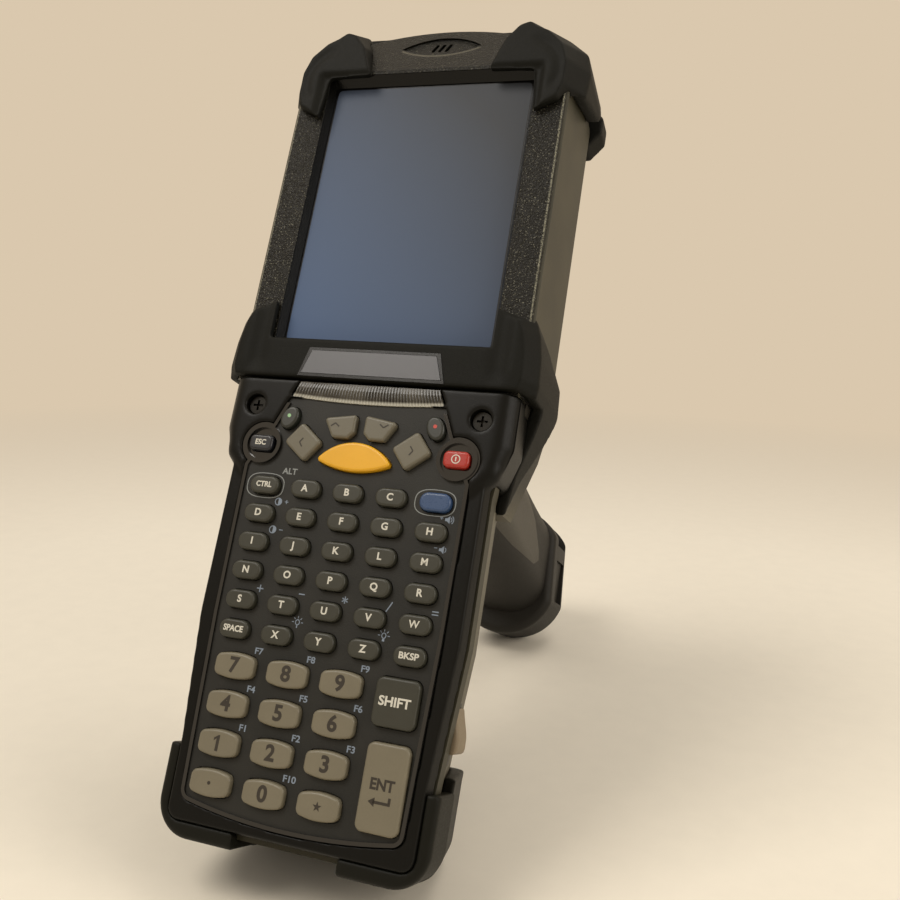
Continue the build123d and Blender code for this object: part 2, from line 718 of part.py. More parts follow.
# every separately pressed key or row of keys: its name, outline and places
key_list = [
    ("scan_key", scan_shape, key_place(0, SCAN_STEP)),
    ("escape_key", well_shape, key_place(-WELL_SIDE, WELL_STEP)),
    ("power_key", well_shape, key_place(WELL_SIDE, WELL_STEP)),
    ("left_dot_key", dot_shape, key_place(-DOT_SIDE, DOT_STEP, -DOT_TILT)),
    ("right_dot_key", dot_shape, key_place(DOT_SIDE, DOT_STEP, DOT_TILT)),
    ("left_arrow_key", side_arrow_shape, key_place(-SIDE_ARROW_SIDE, SIDE_ARROW_STEP, SIDE_ARROW_TILT)),
    ("right_arrow_key", side_arrow_shape, key_place(SIDE_ARROW_SIDE, SIDE_ARROW_STEP, -SIDE_ARROW_TILT)),
    ("up_arrow_key", up_arrow_shape, key_place(-UP_ARROW_SIDE, UP_ARROW_STEP)),
    ("down_arrow_key", down_arrow_shape, key_place(UP_ARROW_SIDE, UP_ARROW_STEP)),
    ("blue_key", letter_shape, letter_places(0)[-1:]),
    ("shift_key", shift_shape, [Location(SHIFT_AT)]),
    ("enter_key", enter_shape, [Location(ENTER_AT)]),
    ("letter_keys_row_1", letter_shape, letter_places(0)[:-1]),
]
for row in range(1, LETTER_ROWS):
    key_list.append((f"letter_keys_row_{row + 1}", letter_shape, letter_places(row)))
for row in range(DIGIT_ROWS):
    key_list.append((f"number_keys_row_{row + 1}", digit_shape, digit_places(row)))


def key_sketch(shape, places, grow, z):
    """The outlines of one group of keys, grown all round, at one height."""
    with BuildSketch(Plane.XY.offset(z)) as sketch:
        for place in places:
            add(shape(grow).moved(place))
    return sketch.sketch


for name, shape, places in key_list:
    with BuildPart() as cap:
        add(key_sketch(shape, places, 0, KEY_FLANGE_TOP))
        extrude(amount=KEY_TOP - KEY_FLANGE_TOP)
        fillet(cap.faces().group_by(Axis.Z)[-1].edges(), KEY_ROUND)
        add(key_sketch(shape, places, KEY_FLANGE_REACH, KEY_FLANGE_TOP - KEY_FLANGE))
        extrude(amount=KEY_FLANGE)
    keep(name, cap.part)

with BuildPart() as keypad_plate:
    with BuildSketch(Plane.XY.offset(PLATE_BACK)):
        add(plate_outline(FIT))
    extrude(amount=PLATE)
    # glossy raised rim, open at the light bar
    with BuildSketch(Plane.XY.offset(BEZEL_HEIGHT)):
        add(plate_outline(FIT))
        add(plate_outline(FIT + PLATE_RIM_WIDTH), mode=Mode.SUBTRACT)
        with Locations((0, BAR_LOW)):
            Rectangle(BAR_LOW_WIDTH + 8, 3.0, mode=Mode.SUBTRACT)
    extrude(amount=PLATE_RIM)
    # raised rings round the two wells
    with BuildSketch(Plane.XY.offset(BEZEL_HEIGHT)):
        with Locations(*wells):
            Circle(WELL_RADIUS + WELL_RIM)
            Circle(WELL_RADIUS, mode=Mode.SUBTRACT)
    extrude(amount=WELL_RIM_TOP - BEZEL_HEIGHT)
    for name, shape, places in key_list:
        add(key_sketch(shape, places, RUN, PLATE_BACK))
        extrude(amount=WELL_RIM_TOP - PLATE_BACK, mode=Mode.SUBTRACT)
keep("keypad_plate", keypad_plate.part)

with BuildPart() as light_bar:
    with BuildSketch(Plane.XY.offset(PLATE_BACK)):
        add(bar_outline(-FIT))
        add(plate_outline(), mode=Mode.SUBTRACT)
    extrude(amount=PLATE + BAR_LIFT)
keep("light_bar", light_bar.part)

# the mat and the board fill the inside of the bezel and the tray
with BuildPart() as keypad_mat:
    with BuildSketch(Plane.XY.offset(MAT_TOP)):
        add(board_outline())
    extrude(amount=-MAT)
keep("keypad_mat", keypad_mat.part)

with BuildPart() as keypad_board:
    with BuildSketch(Plane.XY.offset(MAT_TOP - MAT)):
        add(board_outline())
    extrude(amount=-KEYPAD_BOARD)
keep("keypad_board", keypad_board.part)

# ---------------------------------------------------------------- keypad bezel and its screws
with BuildPart() as keypad_bezel:
    add(bezel_form)
    # opening for the plate and the bar, with a ledge under them
    with BuildSketch(Plane.XY.offset(PLATE_BACK)):
        add(plate_outline())
        add(bar_outline())
    extrude(amount=EAR_TOP, mode=Mode.SUBTRACT)
    # room for the keys, mat and board
    with BuildSketch(Plane.XY.offset(EAR_BACK)):
        add(board_outline(FIT))
    extrude(amount=PLATE_BACK - EAR_BACK, mode=Mode.SUBTRACT)
    for name, shape, places in key_list:
        if name in EDGE_KEYS:
            add(key_sketch(shape, places, KEY_FLANGE_REACH + RUN, MAT_TOP))
            extrude(amount=PLATE_BACK - MAT_TOP, mode=Mode.SUBTRACT)
    # the ears wrap over the sides of the housing
    add(tray_form, mode=Mode.SUBTRACT)
    add(back_form, mode=Mode.SUBTRACT)
    with BuildSketch(Plane.XY.offset(SCREW_SEAT)):
        with Locations(*screw_spots):
            Circle(SCREW_RECESS)
    extrude(amount=EAR_TOP, mode=Mode.SUBTRACT)
    with BuildSketch():
        with Locations(*screw_spots):
            Circle(SCREW_SHANK)
    extrude(amount=SCREW_SEAT, mode=Mode.SUBTRACT)
keep("keypad_bezel", keypad_bezel.part)

with BuildPart() as keypad_screws:
    with BuildSketch(Plane.XY.offset(SCREW_SEAT)):
        with Locations(*screw_spots):
            Circle(SCREW_HEAD)
    extrude(amount=SCREW_HEAD_DEEP)
    with BuildSketch(Plane.XY.offset(SCREW_SEAT + SCREW_HEAD_DEEP)):
        with Locations(*screw_spots):
            Rectangle(*SCREW_SLOT)
            Rectangle(*SCREW_SLOT, rotation=90)
    extrude(amount=-SLOT_DEEP, mode=Mode.SUBTRACT)
    with BuildSketch(Plane.XY.offset(SCREW_TIP)):
        with Locations(*screw_spots):
            Circle(SCREW_SHANK)
    extrude(amount=SCREW_SEAT - SCREW_TIP)
keep("keypad_screws", keypad_screws.part)


# ---------------------------------------------------------------- battery bay, release slots, cavities
bay = block(
    (-BATTERY_HALF - BATTERY_GAP, BATTERY_HALF + BATTERY_GAP),
    (BATTERY_LOW - BATTERY_GAP, BATTERY_HIGH + BATTERY_GAP),
    (BATTERY_BACK - 10, BAY_BACK),
)


def button_slot(side, grow):
    """A release button with its inner flange on one side, or with growth the slot for it."""
    outside = BUTTON_OUT + grow * 10
    inside = BUTTON_IN if grow == 0 else CAVITY_HALF
    y = (BUTTON_LOW - grow, BUTTON_HIGH + grow)
    z = (BUTTON_BACK - grow, BUTTON_TOP + grow)
    flange_out = BUTTON_IN + BUTTON_FLANGE + (grow and FIT)
    stem = block(sorted((side * inside, side * outside)), y, z)
    flange = block(
        sorted((side * inside, side * flange_out)),
        (y[0] - BUTTON_FLANGE_REACH, y[1] + BUTTON_FLANGE_REACH),
        (z[0] - BUTTON_FLANGE_REACH, z[1]),
    )
    return stem + flange


with BuildPart() as head_hollow:
    with BuildSketch(Plane.XY.offset(PARTING_HEAD)):
        add(head_outline(SHELL, HEAD_LOW + SHELL))
    extrude(amount=LIP - PARTING_HEAD)
    add(cap_prism(LIP), mode=Mode.SUBTRACT)

with BuildPart() as slot_recess:
    # between two arcs
    with BuildSketch(Plane.XY.offset(-CAP_DROP)):
        with BuildLine():
            end = (SLOT_RECESS_HALF, HEAD_CROWN - SLOT_RECESS_STEP)
            ThreePointArc(end, (0, end[1] - SLOT_RECESS_SAG), (-end[0], end[1]))
            ThreePointArc((-end[0], end[1]), (0, end[1] + SLOT_RECESS_RISE), end)
        make_face()
    extrude(amount=CAP_DROP + FACE)
    add(cap_prism(FACE - SLOT_RECESS), mode=Mode.INTERSECT)

with BuildPart() as front_housing:
    add(head_form)
    add(head_hollow, mode=Mode.SUBTRACT)
    # posts for the scan engine's bracket
    with BuildSketch(Plane.XY.offset(BRACKET_TOP)):
        with Locations(*bracket_posts):
            Circle(BRACKET_POST)
    extrude(amount=LIP - BRACKET_TOP)
    # display window, bevelled down to the glass
    with BuildSketch(Plane.XY.offset(LIP)):
        with Locations((0, WINDOW_CENTRE)):
            Rectangle(WINDOW_WIDTH, WINDOW_HEIGHT)
    with BuildSketch(Plane.XY.offset(FACE)):
        with Locations((0, WINDOW_CENTRE + WINDOW_BEVEL / 2)):
            Rectangle(WINDOW_WIDTH + 2 * WINDOW_BEVEL, WINDOW_HEIGHT + 3 * WINDOW_BEVEL)
    loft(mode=Mode.SUBTRACT)
    # speaker slots in their recess in the cap
    add(slot_recess, mode=Mode.SUBTRACT)
    with BuildSketch(Plane.XY.offset(-CAP_DROP)):
        with Locations(
            *[Location((i * SLOT_PITCH, HEAD_CROWN - SLOT_STEP), SLOT_TILT) for i in (-1, 0, 1)]
        ):
            SlotOverall(*SLOT)
    extrude(amount=CAP_DROP + FACE, mode=Mode.SUBTRACT)
    # scan window opening in the nose
    add(
        block(
            (-EXIT_WIDTH / 2, EXIT_WIDTH / 2), (HEAD_CROWN - CAP_LENGTH, NOSE_REACH), (EXIT_BACK, EXIT_TOP)
        ),
        mode=Mode.SUBTRACT,
    )
    # tray under the keypad, and the way through for the main board
    add(tray_form)
    with BuildSketch(Plane.XY.offset(TRAY_TOP)):
        add(board_outline(FIT))
    extrude(amount=-TRAY_TOP, mode=Mode.SUBTRACT)
    add(
        block(
            (-CAVITY_HALF, CAVITY_HALF),
            (HEAD_LOW - 1, HEAD_LOW + SHELL + 1),
            (PARTING_HEAD, PARTING_KEYPAD),
        ),
        mode=Mode.SUBTRACT,
    )
    with BuildSketch(Plane.XY.offset(PARTING_KEYPAD)):
        with Locations(*screw_spots):
            Circle(SCREW_SHANK)
    extrude(amount=-PARTING_KEYPAD, mode=Mode.SUBTRACT)
keep("front_housing", front_housing.part)

with BuildPart() as rear_housing:
    add(back_form)
    # display section is hollow
    with BuildSketch(Plane.XY.offset(HEAD_BACK + SHELL)):
        add(head_outline(HEAD_BACK_INSET + SHELL, HEAD_LOW + SHELL))
    with BuildSketch(Plane.XY.offset(PARTING_HEAD)):
        add(head_outline(SHELL, HEAD_LOW + SHELL))
    loft(mode=Mode.SUBTRACT)
    # room for the main board above the battery bay, and behind the collar
    add(
        block((-CAVITY_HALF, CAVITY_HALF), (BOARD_LOW - 6, HEAD_LOW + 5), (BAY_FLOOR, PARTING_KEYPAD)),
        mode=Mode.SUBTRACT,
    )
    collar_room = (BATTERY_HIGH + 3, HEAD_LOW + 5)
    add(
        block((-CAVITY_HALF + 3, CAVITY_HALF - 3), collar_room, (BACK + SHELL, BAY_FLOOR)),
        mode=Mode.SUBTRACT,
    )
    add(bay, mode=Mode.SUBTRACT)
    add(button_slot(1, RUN), mode=Mode.SUBTRACT)
    add(button_slot(-1, RUN), mode=Mode.SUBTRACT)
    add(block(*CONNECTOR), mode=Mode.SUBTRACT)
    # posts for the main board
    with BuildSketch(Plane.XY.offset(HEAD_BACK + SHELL)):
        with Locations(*head_posts):
            Circle(POST)
    extrude(amount=BOARD_BACK - HEAD_BACK - SHELL)
    with BuildSketch(Plane.XY.offset(BAY_FLOOR)):
        with Locations(*keypad_posts):
            Circle(POST)
    extrude(amount=BOARD_BACK - BAY_FLOOR)
    # wires pass down the neck
    with BuildSketch(Plane.XY.offset(GRIP_TOP)):
        with Locations((0, GRIP_TOP_AT)):
            Circle(WIRE_HOLE)
    extrude(amount=HEAD_BACK + SHELL - GRIP_TOP, mode=Mode.SUBTRACT)
    # counterbores for the housing screws, holes for the keypad screws
    with BuildSketch(Plane.XY.offset(HEAD_BACK)):
        with Locations(*back_screws):
            Circle(BACK_SCREW_HEAD)
    extrude(amount=BACK_SCREW_DEEP, mode=Mode.SUBTRACT)
    with BuildSketch(Plane.XY.offset(SCREW_TIP)):
        with Locations(*screw_spots):
            Circle(SCREW_SHANK)
    extrude(amount=PARTING_KEYPAD - SCREW_TIP, mode=Mode.SUBTRACT)
keep("rear_housing", rear_housing.part)

with BuildPart() as housing_screws:
    with BuildSketch(Plane.XY.offset(HEAD_BACK + 0.2)):
        with Locations(*back_screws):
            Circle(BACK_SCREW_HEAD - FIT / 2)
            Rectangle(*SCREW_SLOT, mode=Mode.SUBTRACT)
    extrude(amount=BACK_SCREW_DEEP - 0.6)
    with BuildSketch(Plane.XY.offset(HEAD_BACK + BACK_SCREW_DEEP)):
        with Locations(*back_screws):
            Circle(BACK_SCREW_HEAD - FIT / 2)
    extrude(amount=-0.4)
keep("housing_screws", housing_screws.part)

# ---------------------------------------------------------------- display
with BuildPart() as display_gasket:
    with BuildSketch():
        with Locations((0, WINDOW_CENTRE)):
            Rectangle(2 * GLASS_HALF[0], 2 * GLASS_HALF[1])
            Rectangle(WINDOW_WIDTH + 0.8, WINDOW_HEIGHT + 0.8, mode=Mode.SUBTRACT)
    extrude(amount=LIP)
keep("display_gasket", display_gasket.part)

with BuildPart() as display_glass:
    with BuildSketch():
        with Locations((0, WINDOW_CENTRE)):
            Rectangle(2 * GLASS_HALF[0], 2 * GLASS_HALF[1])
    extrude(amount=-GLASS)
keep("display_glass", display_glass.part)

with BuildPart() as display_module:
    with BuildSketch(Plane.XY.offset(-GLASS)):
        with Locations((0, WINDOW_CENTRE)):
            Rectangle(2 * GLASS_HALF[0] - 1.6, 2 * GLASS_HALF[1] - 1.6)
    extrude(amount=-DISPLAY_MODULE)
keep("display_module", display_module.part)

with BuildPart() as main_board:
    with BuildSketch(Plane.XY.offset(BOARD_TOP)):
        with Locations((0, (BOARD_LOW + BOARD_HIGH) / 2)):
            RectangleRounded(2 * BOARD_HALF, BOARD_HIGH - BOARD_LOW, 2.0)
    extrude(amount=-BOARD)
    chips = [(0, BOARD_LOW + 50), (0, HEAD_LOW + 16), (-12, HEAD_LOW + 46), (12, HEAD_LOW + 46)]
    with BuildSketch(Plane.XY.offset(BOARD_BACK)):
        with Locations(*chips):
            Rectangle(CHIP[0], CHIP[0])
    extrude(amount=-CHIP[1])
keep("main_board", main_board.part)

# ---------------------------------------------------------------- nose: speaker, scan engine, window
cap_lean = degrees(atan2(CAP_DROP, CAP_LENGTH))
speaker_z = LIP - CAP_DROP * (1 - SPEAKER_STEP / CAP_LENGTH)
with BuildPart() as speaker:
    with BuildSketch(Plane((0, HEAD_CROWN - SPEAKER_STEP, speaker_z - FIT)).rotated((-cap_lean, 0, 0))):
        Circle(SPEAKER)
    extrude(amount=-SPEAKER_DEEP)
keep("speaker", speaker.part)

with BuildPart() as scan_engine:
    add(block(*ENGINE))
    # aperture in its front
    with BuildSketch(Plane.XZ.offset(-ENGINE[1][1])):
        with Locations((0, (ENGINE[2][0] + ENGINE[2][1]) / 2)):
            Rectangle(*ENGINE_APERTURE)
    extrude(amount=3.0, mode=Mode.SUBTRACT)
keep("scan_engine", scan_engine.part)

with BuildPart() as scan_bracket:
    with BuildSketch(Plane.XY.offset(BRACKET_TOP)):
        with Locations((0, HEAD_CROWN - BRACKET_POST_STEP)):
            RectangleRounded(2 * (BRACKET_POST_SIDE + BRACKET_POST), BRACKET_LENGTH, 2.0)
    extrude(amount=-BRACKET)
keep("scan_bracket", scan_bracket.part)

with BuildPart() as scan_window:
    # follows the crown of the nose, just inside its outer surface
    with BuildSketch(Plane.XY.offset(EXIT_BACK + FIT)):
        add(head_outline(WINDOW_INSET))
        add(head_outline(WINDOW_INSET + WINDOW_GLASS), mode=Mode.SUBTRACT)
        with Locations((0, HEAD_LOW)):
            Rectangle(HEAD_WIDTH * 2, 2 * (HEAD_CROWN - 8 - HEAD_LOW), mode=Mode.SUBTRACT)
    extrude(amount=EXIT_TOP - EXIT_BACK - 2 * FIT)
    with BuildSketch(Plane.XY.offset(EXIT_BACK)):
        with Locations((0, HEAD_CROWN)):
            Rectangle(EXIT_WIDTH - 2 * FIT, 40)
    extrude(amount=EXIT_TOP - EXIT_BACK, mode=Mode.INTERSECT)
keep("scan_window", scan_window.part)

# ---------------------------------------------------------------- rubber on the display section
with BuildPart() as nose_bumper:
    # band along the nose, round both corners
    with BuildSketch(Plane.XY.offset(NOSE_LOBE_BACK)) as band:
        with BuildLine():
            right = [
                (NOSE_LOBE_HALF - 4, NOSE_LOBE_LOW),
                (NOSE_LOBE_HALF, NOSE_LOBE_LOW + 5),
                (NOSE_LOBE_HALF, HEAD_CROWN - CROWN_DROP + 0.1),
                (NOSE_LOBE_HALF - 9, HEAD_CROWN - 2),
                (NOSE_LOBE_HALF - 23, NOSE_REACH),
            ]
            Polyline(*mirrored(right), close=True)
        make_face()
        fillet(band.vertices().group_by(Axis.Y)[-2], 6.0)
    extrude(amount=NOSE_LOBE_TOP - NOSE_LOBE_BACK)
    # frame round the scan window
    with BuildSketch(Plane.XY.offset(NOSE_LOBE_TOP)):
        with BuildLine():
            right = [(EXIT_WIDTH / 2 + 8, HEAD_CROWN - 12.5), (EXIT_WIDTH / 2 + 6, NOSE_REACH)]
            Polyline(*mirrored(right), close=True)
        make_face()
    extrude(amount=EXIT_TOP + 1.2 - NOSE_LOBE_TOP)
    add(head_form, mode=Mode.SUBTRACT)
    add(back_form, mode=Mode.SUBTRACT)
    add(
        block(
            (-EXIT_WIDTH / 2 - 0.5, EXIT_WIDTH / 2 + 0.5),
            (HEAD_LOW, NOSE_REACH + 5),
            (EXIT_BACK - 0.5, EXIT_TOP + 0.5),
        ),
        mode=Mode.SUBTRACT,
    )
keep("nose_bumper", nose_bumper.part.solids().sort_by(SortBy.VOLUME)[-1])


def beside_head(points, low):
    """Points measured from the side of the display section and from a place along the body."""
    return [(HEAD_WIDTH / 2 + out, low + up) for out, up in points]


with BuildPart() as corner_form:
    for z, points in ((CORNER_DEEP, CORNER_SIDE), (RUBBER_TOP, CORNER_FRONT)):
        with BuildSketch(Plane.XY.offset(z)):
            with BuildLine():
                Polyline(*beside_head(points, WINDOW_HIGH), close=True)
            make_face()
    loft(ruled=True)
    add(front_prism(beside_head(CORNER_SIDE, WINDOW_HIGH), BUMPER_BACK, CORNER_DEEP))
    # on the sides and the top the rubber ends in a slanting edge
    slant = [(WINDOW_HIGH + along, out) for along, out in CORNER_SLANT]
    add(side_prism(slant, HEAD_WIDTH), mode=Mode.SUBTRACT)
    add(head_form, mode=Mode.SUBTRACT)
    add(back_form, mode=Mode.SUBTRACT)
    add(nose_bumper, mode=Mode.SUBTRACT)
corner_bumper = corner_form.part.solids().sort_by(SortBy.VOLUME)[-1]
keep("top_right_bumper", corner_bumper)
keep("top_left_bumper", mirror(corner_bumper, about=Plane.YZ))


def name_prism(inset):
    """The nameplate, half sunk in the collar."""
    with BuildPart() as plate:
        with BuildSketch(Plane.XY.offset(RUBBER_TOP - NAME_THICK / 2)):
            with BuildLine():
                right = [(NAME_LOW_WIDTH / 2, NAME_LOW), (NAME_HIGH_WIDTH / 2, NAME_LOW + NAME_HEIGHT)]
                Polyline(*mirrored(right), close=True)
            make_face()
            if inset:
                offset(amount=-inset)
        extrude(amount=NAME_THICK)
    return plate.part


# collar: a band over the front below the display, and wings that taper down the sides
wing = beside_head([*WING, *COLLAR_SIDE[1:-1]], HEAD_LOW)
wing_slant = [(HEAD_LOW + along, out) for along, out in WING_SLANT]
wing_slant += [(HEAD_LOW - 25.5, EAR_BACK), (HEAD_LOW, EAR_BACK), (HEAD_LOW, COLLAR_DEEP)]
with BuildPart() as wings:
    add(front_prism(mirrored(wing), WING_BACK, COLLAR_DEEP))
    add(side_prism(wing_slant, HEAD_WIDTH), mode=Mode.INTERSECT)

with BuildPart() as collar_bumper:
    for z, points in ((COLLAR_DEEP, COLLAR_SIDE), (RUBBER_TOP, COLLAR_FRONT)):
        with BuildSketch(Plane.XY.offset(z)):
            with BuildLine():
                right = [*points, (points[-1][0], COLLAR_LOW)]
                Polyline(*mirrored(beside_head(right, HEAD_LOW)), close=True)
            make_face()
    loft(ruled=True)
    add(wings)
    add(head_form, mode=Mode.SUBTRACT)
    add(tray_form, mode=Mode.SUBTRACT)
    add(back_form, mode=Mode.SUBTRACT)
    add(bezel_form, mode=Mode.SUBTRACT)
    add(name_prism(0), mode=Mode.SUBTRACT)
keep("collar_bumper", collar_bumper.part)

keep("nameplate", name_prism(FIT))

# ---------------------------------------------------------------- rubber at the keypad end
with BuildPart() as end_form:
    with BuildSketch(Plane.XY.offset(END_BACK)):
        add(end_outline(-END_GROW, -END_GROW, END_HIGH, END_CORNER))
        Rectangle(2 * END_NOTCH, 40, mode=Mode.SUBTRACT)
    extrude(amount=END_TOP - END_BACK)
    fillet(
        end_form.edges().group_by(Axis.Z)[-1].filter_by(
            lambda e: abs(e.center().X) > END_NOTCH + 0.1 and e.center().Y < END_HIGH - 0.1
        ),
        END_ROUND,
    )
    add(bezel_form, mode=Mode.SUBTRACT)
    add(tray_form, mode=Mode.SUBTRACT)
    add(back_form, mode=Mode.SUBTRACT)
end_solids = end_form.part.solids().sort_by(Axis.X)
keep("bottom_left_bumper", end_solids[0])
keep("bottom_right_bumper", end_solids[-1])

with BuildPart() as rear_boot:
    with BuildSketch(Plane.XY.offset(BOOT_BACK)):
        add(end_outline(BACK_INSET - BOOT_GROW, BOOT_LOW - KEYPAD_LOW, BOOT_HIGH, BOOT_CORNER))
    with BuildSketch(Plane.XY.offset(END_BACK)):
        add(end_outline(BOOT_SLOPE - BOOT_GROW, BOOT_LOW - KEYPAD_LOW, BOOT_HIGH, BOOT_CORNER))
    loft()
    fillet(
        rear_boot.edges().group_by(Axis.Z)[0].filter_by(lambda e: e.center().Y < BOOT_HIGH - 1),
        STAND_ROUND,
    )
    add(back_form, mode=Mode.SUBTRACT)
    add(bay, mode=Mode.SUBTRACT)
    # clear of the connector
    notch = (CONNECTOR_BACK - 0.6, END_BACK)
    add(block((-END_NOTCH, END_NOTCH), (BOOT_LOW - 1, KEYPAD_LOW + 1), notch), mode=Mode.SUBTRACT)
keep("rear_boot", rear_boot.part)

# ---------------------------------------------------------------- battery, latch, release buttons
with BuildPart() as battery_pack:
    add(
        block(
            (-BATTERY_HALF, BATTERY_HALF), (BATTERY_LOW, BATTERY_HIGH), (BATTERY_BACK, BAY_BACK - BATTERY_GAP)
        )
    )
    fillet(battery_pack.edges().group_by(Axis.Z)[0], BATTERY_ROUND)
    with BuildSketch(Plane.XY.offset(BATTERY_BACK)):
        with Locations((0, LATCH_AT + LATCH_TRAVEL / 2)):
            Rectangle(LATCH[0] + 2 * LATCH_GAP, LATCH[1] + LATCH_TRAVEL + 2 * LATCH_GAP)
    extrude(amount=LATCH_DEEP + LATCH_GAP, mode=Mode.SUBTRACT)
keep("battery_pack", battery_pack.part)

with BuildPart() as battery_latch:
    with BuildSketch(Plane.XY.offset(BATTERY_BACK)):
        with Locations((0, LATCH_AT)):
            RectangleRounded(*LATCH, 1.0)
    extrude(amount=LATCH_DEEP)
    with BuildSketch(Plane.XY.offset(BATTERY_BACK)):
        with Locations(*[(0, LATCH_AT + i * LATCH_RIB_PITCH) for i in (-1, 0, 1)]):
            Rectangle(LATCH[0] - 4, LATCH_RIB)
    extrude(amount=-0.5)
keep("battery_latch", battery_latch.part)

for side, name in ((-1, "left_release_button"), (1, "right_release_button")):
    with BuildPart() as button:
        add(button_slot(side, 0))
        fillet(button.edges().group_by(Axis.X)[-1 if side > 0 else 0], BUTTON_ROUND)
    keep(name, button.part)

with BuildPart() as io_connector:
    add(block(*CONNECTOR))
    with BuildSketch(Plane.XZ.offset(-CONNECTOR[1][0])):
        with Locations((0, (CONNECTOR[2][0] + CONNECTOR[2][1]) / 2)):
            Rectangle(20, 4)
            with GridLocations(2.4, 1, 7, 1):
                Rectangle(0.9, 2.0, mode=Mode.SUBTRACT)
    extrude(amount=-3.0, mode=Mode.SUBTRACT)
keep("io_connector", io_connector.part)

# ---------------------------------------------------------------- handle


def grip_middle(z):
    """Middle of the grip along the body, at a height below the glass."""
    share = (z - GRIP_TOP) / (GRIP_END - GRIP_TOP)
    return GRIP_TOP_AT + share * (GRIP_END_AT - GRIP_TOP_AT)


def grip_loft(inset, *sections):
    """A tube of rounded sections, each given as height, extra width and extra length."""
    with BuildPart() as tube:
        for z, wider, longer in sections:
            with BuildSketch(Plane.XY.offset(z)):
                with Locations((0, grip_middle(z))):
                    RectangleRounded(
                        GRIP_WIDTH + wider - 2 * inset,
                        GRIP_LENGTH + longer - 2 * inset,
                        GRIP_CORNER - inset,
                    )
        loft()
    return tube.part


def below_grip_top(points):
    """Side-view points measured from the middle of the grip's top."""
    return [(GRIP_TOP_AT + along, GRIP_TOP + out) for along, out in points]


grip_form = grip_loft(0, (GRIP_TOP, 0, 2), (GRIP_WAIST, -1.0, -1.0), (GRIP_END, 3.0, 3.0))
grip_hollow = grip_loft(GRIP_WALL, (GRIP_TOP, 0, 2), (GRIP_WAIST, -1.0, -1.0))
# the rubber covers the keypad side of the grip and all of its lower end; the shells end in a tongue
rubber_edge = [
    (-19.0, 0.0),
    (-21.5, -26.0),
    (-25.5, -58.0),
    (-27.5, -86.0),
    (-25.0, -92.5),
    (-21.5, -91.0),
    (-12.0, -80.0),
    (-4.0, -64.0),
    (20.0, -60.0),
]
rubber_zone = side_prism(
    below_grip_top([*rubber_edge, (20.0, -GRIP_HEIGHT - 1), (-80.0, -GRIP_HEIGHT - 1), (-80.0, 0.0)]),
    FOOT_WIDTH,
)
trigger_slot = block(
    (-TRIGGER_WIDTH / 2 - RUN, TRIGGER_WIDTH / 2 + RUN),
    (GRIP_TOP_AT - 8, GRIP_TOP_AT + GRIP_LENGTH),
    (GRIP_TOP - 48, GRIP_TOP - 2.5),
)


def handle_shell(side):
    """Half of the handle's hard shell, with its boss for the trigger pin."""
    with BuildPart() as shell:
        add(grip_form)
        add(rubber_zone, mode=Mode.SUBTRACT)
        add(grip_hollow, mode=Mode.SUBTRACT)
        with BuildSketch(Plane.YZ.offset(side * (TRIGGER_WIDTH / 2 + RUN))):
            with Locations(TRIGGER_PIN_AT):
                Circle(BOSS)
        extrude(amount=side * (GRIP_WIDTH / 2 - GRIP_WALL / 2 - TRIGGER_WIDTH / 2 - RUN - 1))
        add(trigger_slot, mode=Mode.SUBTRACT)
        if side < 0:
            # shelf that carries the trigger switch
            add(block((-GRIP_WIDTH / 2 + 2, SWITCH[0][0]), SWITCH[1], SWITCH[2]))
        with BuildSketch(Plane.YZ):
            with Locations(TRIGGER_PIN_AT):
                Circle(TRIGGER_PIN)
        extrude(amount=side * PIN_HALF, mode=Mode.SUBTRACT)
        if side < 0:
            with BuildSketch(Plane.YZ.offset(-GRIP_WIDTH)):
                with Locations(*HANDLE_SCREWS):
                    Circle(HANDLE_SCREW)
            extrude(amount=GRIP_WIDTH - HANDLE_SCREW_SEAT, mode=Mode.SUBTRACT)
        split(bisect_by=Plane.YZ, keep=Keep.TOP if side > 0 else Keep.BOTTOM)
    return shell.part.solids().sort_by(SortBy.VOLUME)[-1]


keep("handle_right_shell", handle_shell(1))
keep("handle_left_shell", handle_shell(-1))

with BuildPart() as handle_screws:
    with BuildSketch(Plane.YZ.offset(-HANDLE_SCREW_SEAT)):
        with Locations(*HANDLE_SCREWS):
            Circle(HANDLE_SCREW)
            Rectangle(*SCREW_SLOT, mode=Mode.SUBTRACT)
    extrude(amount=-HANDLE_SCREW_DEEP)
keep("handle_screws", handle_screws.part)

with BuildPart() as foot:
    with BuildSketch(Plane.XY.offset(FOOT_BACK)):
        with BuildLine():
            wide = (FOOT_WIDTH / 2, FOOT_LOW + 15)
            narrow = (FOOT_WIDTH / 2 - 1.5, FOOT_HIGH - 10)
            ThreePointArc(wide, (0, FOOT_LOW), (-wide[0], wide[1]))
            Line((-wide[0], wide[1]), (-narrow[0], narrow[1]))
            ThreePointArc((-narrow[0], narrow[1]), (0, FOOT_HIGH), narrow)
            Line(narrow, wide)
        make_face()
    extrude(amount=FOOT_TOP - FOOT_BACK)
    fillet(foot.edges().filter_by(Axis.Z), FOOT_CORNER)
    fillet(foot.edges().group_by(Axis.Z)[0], STAND_ROUND)
    fillet(foot.edges().group_by(Axis.Z)[-1], STAND_ROUND)

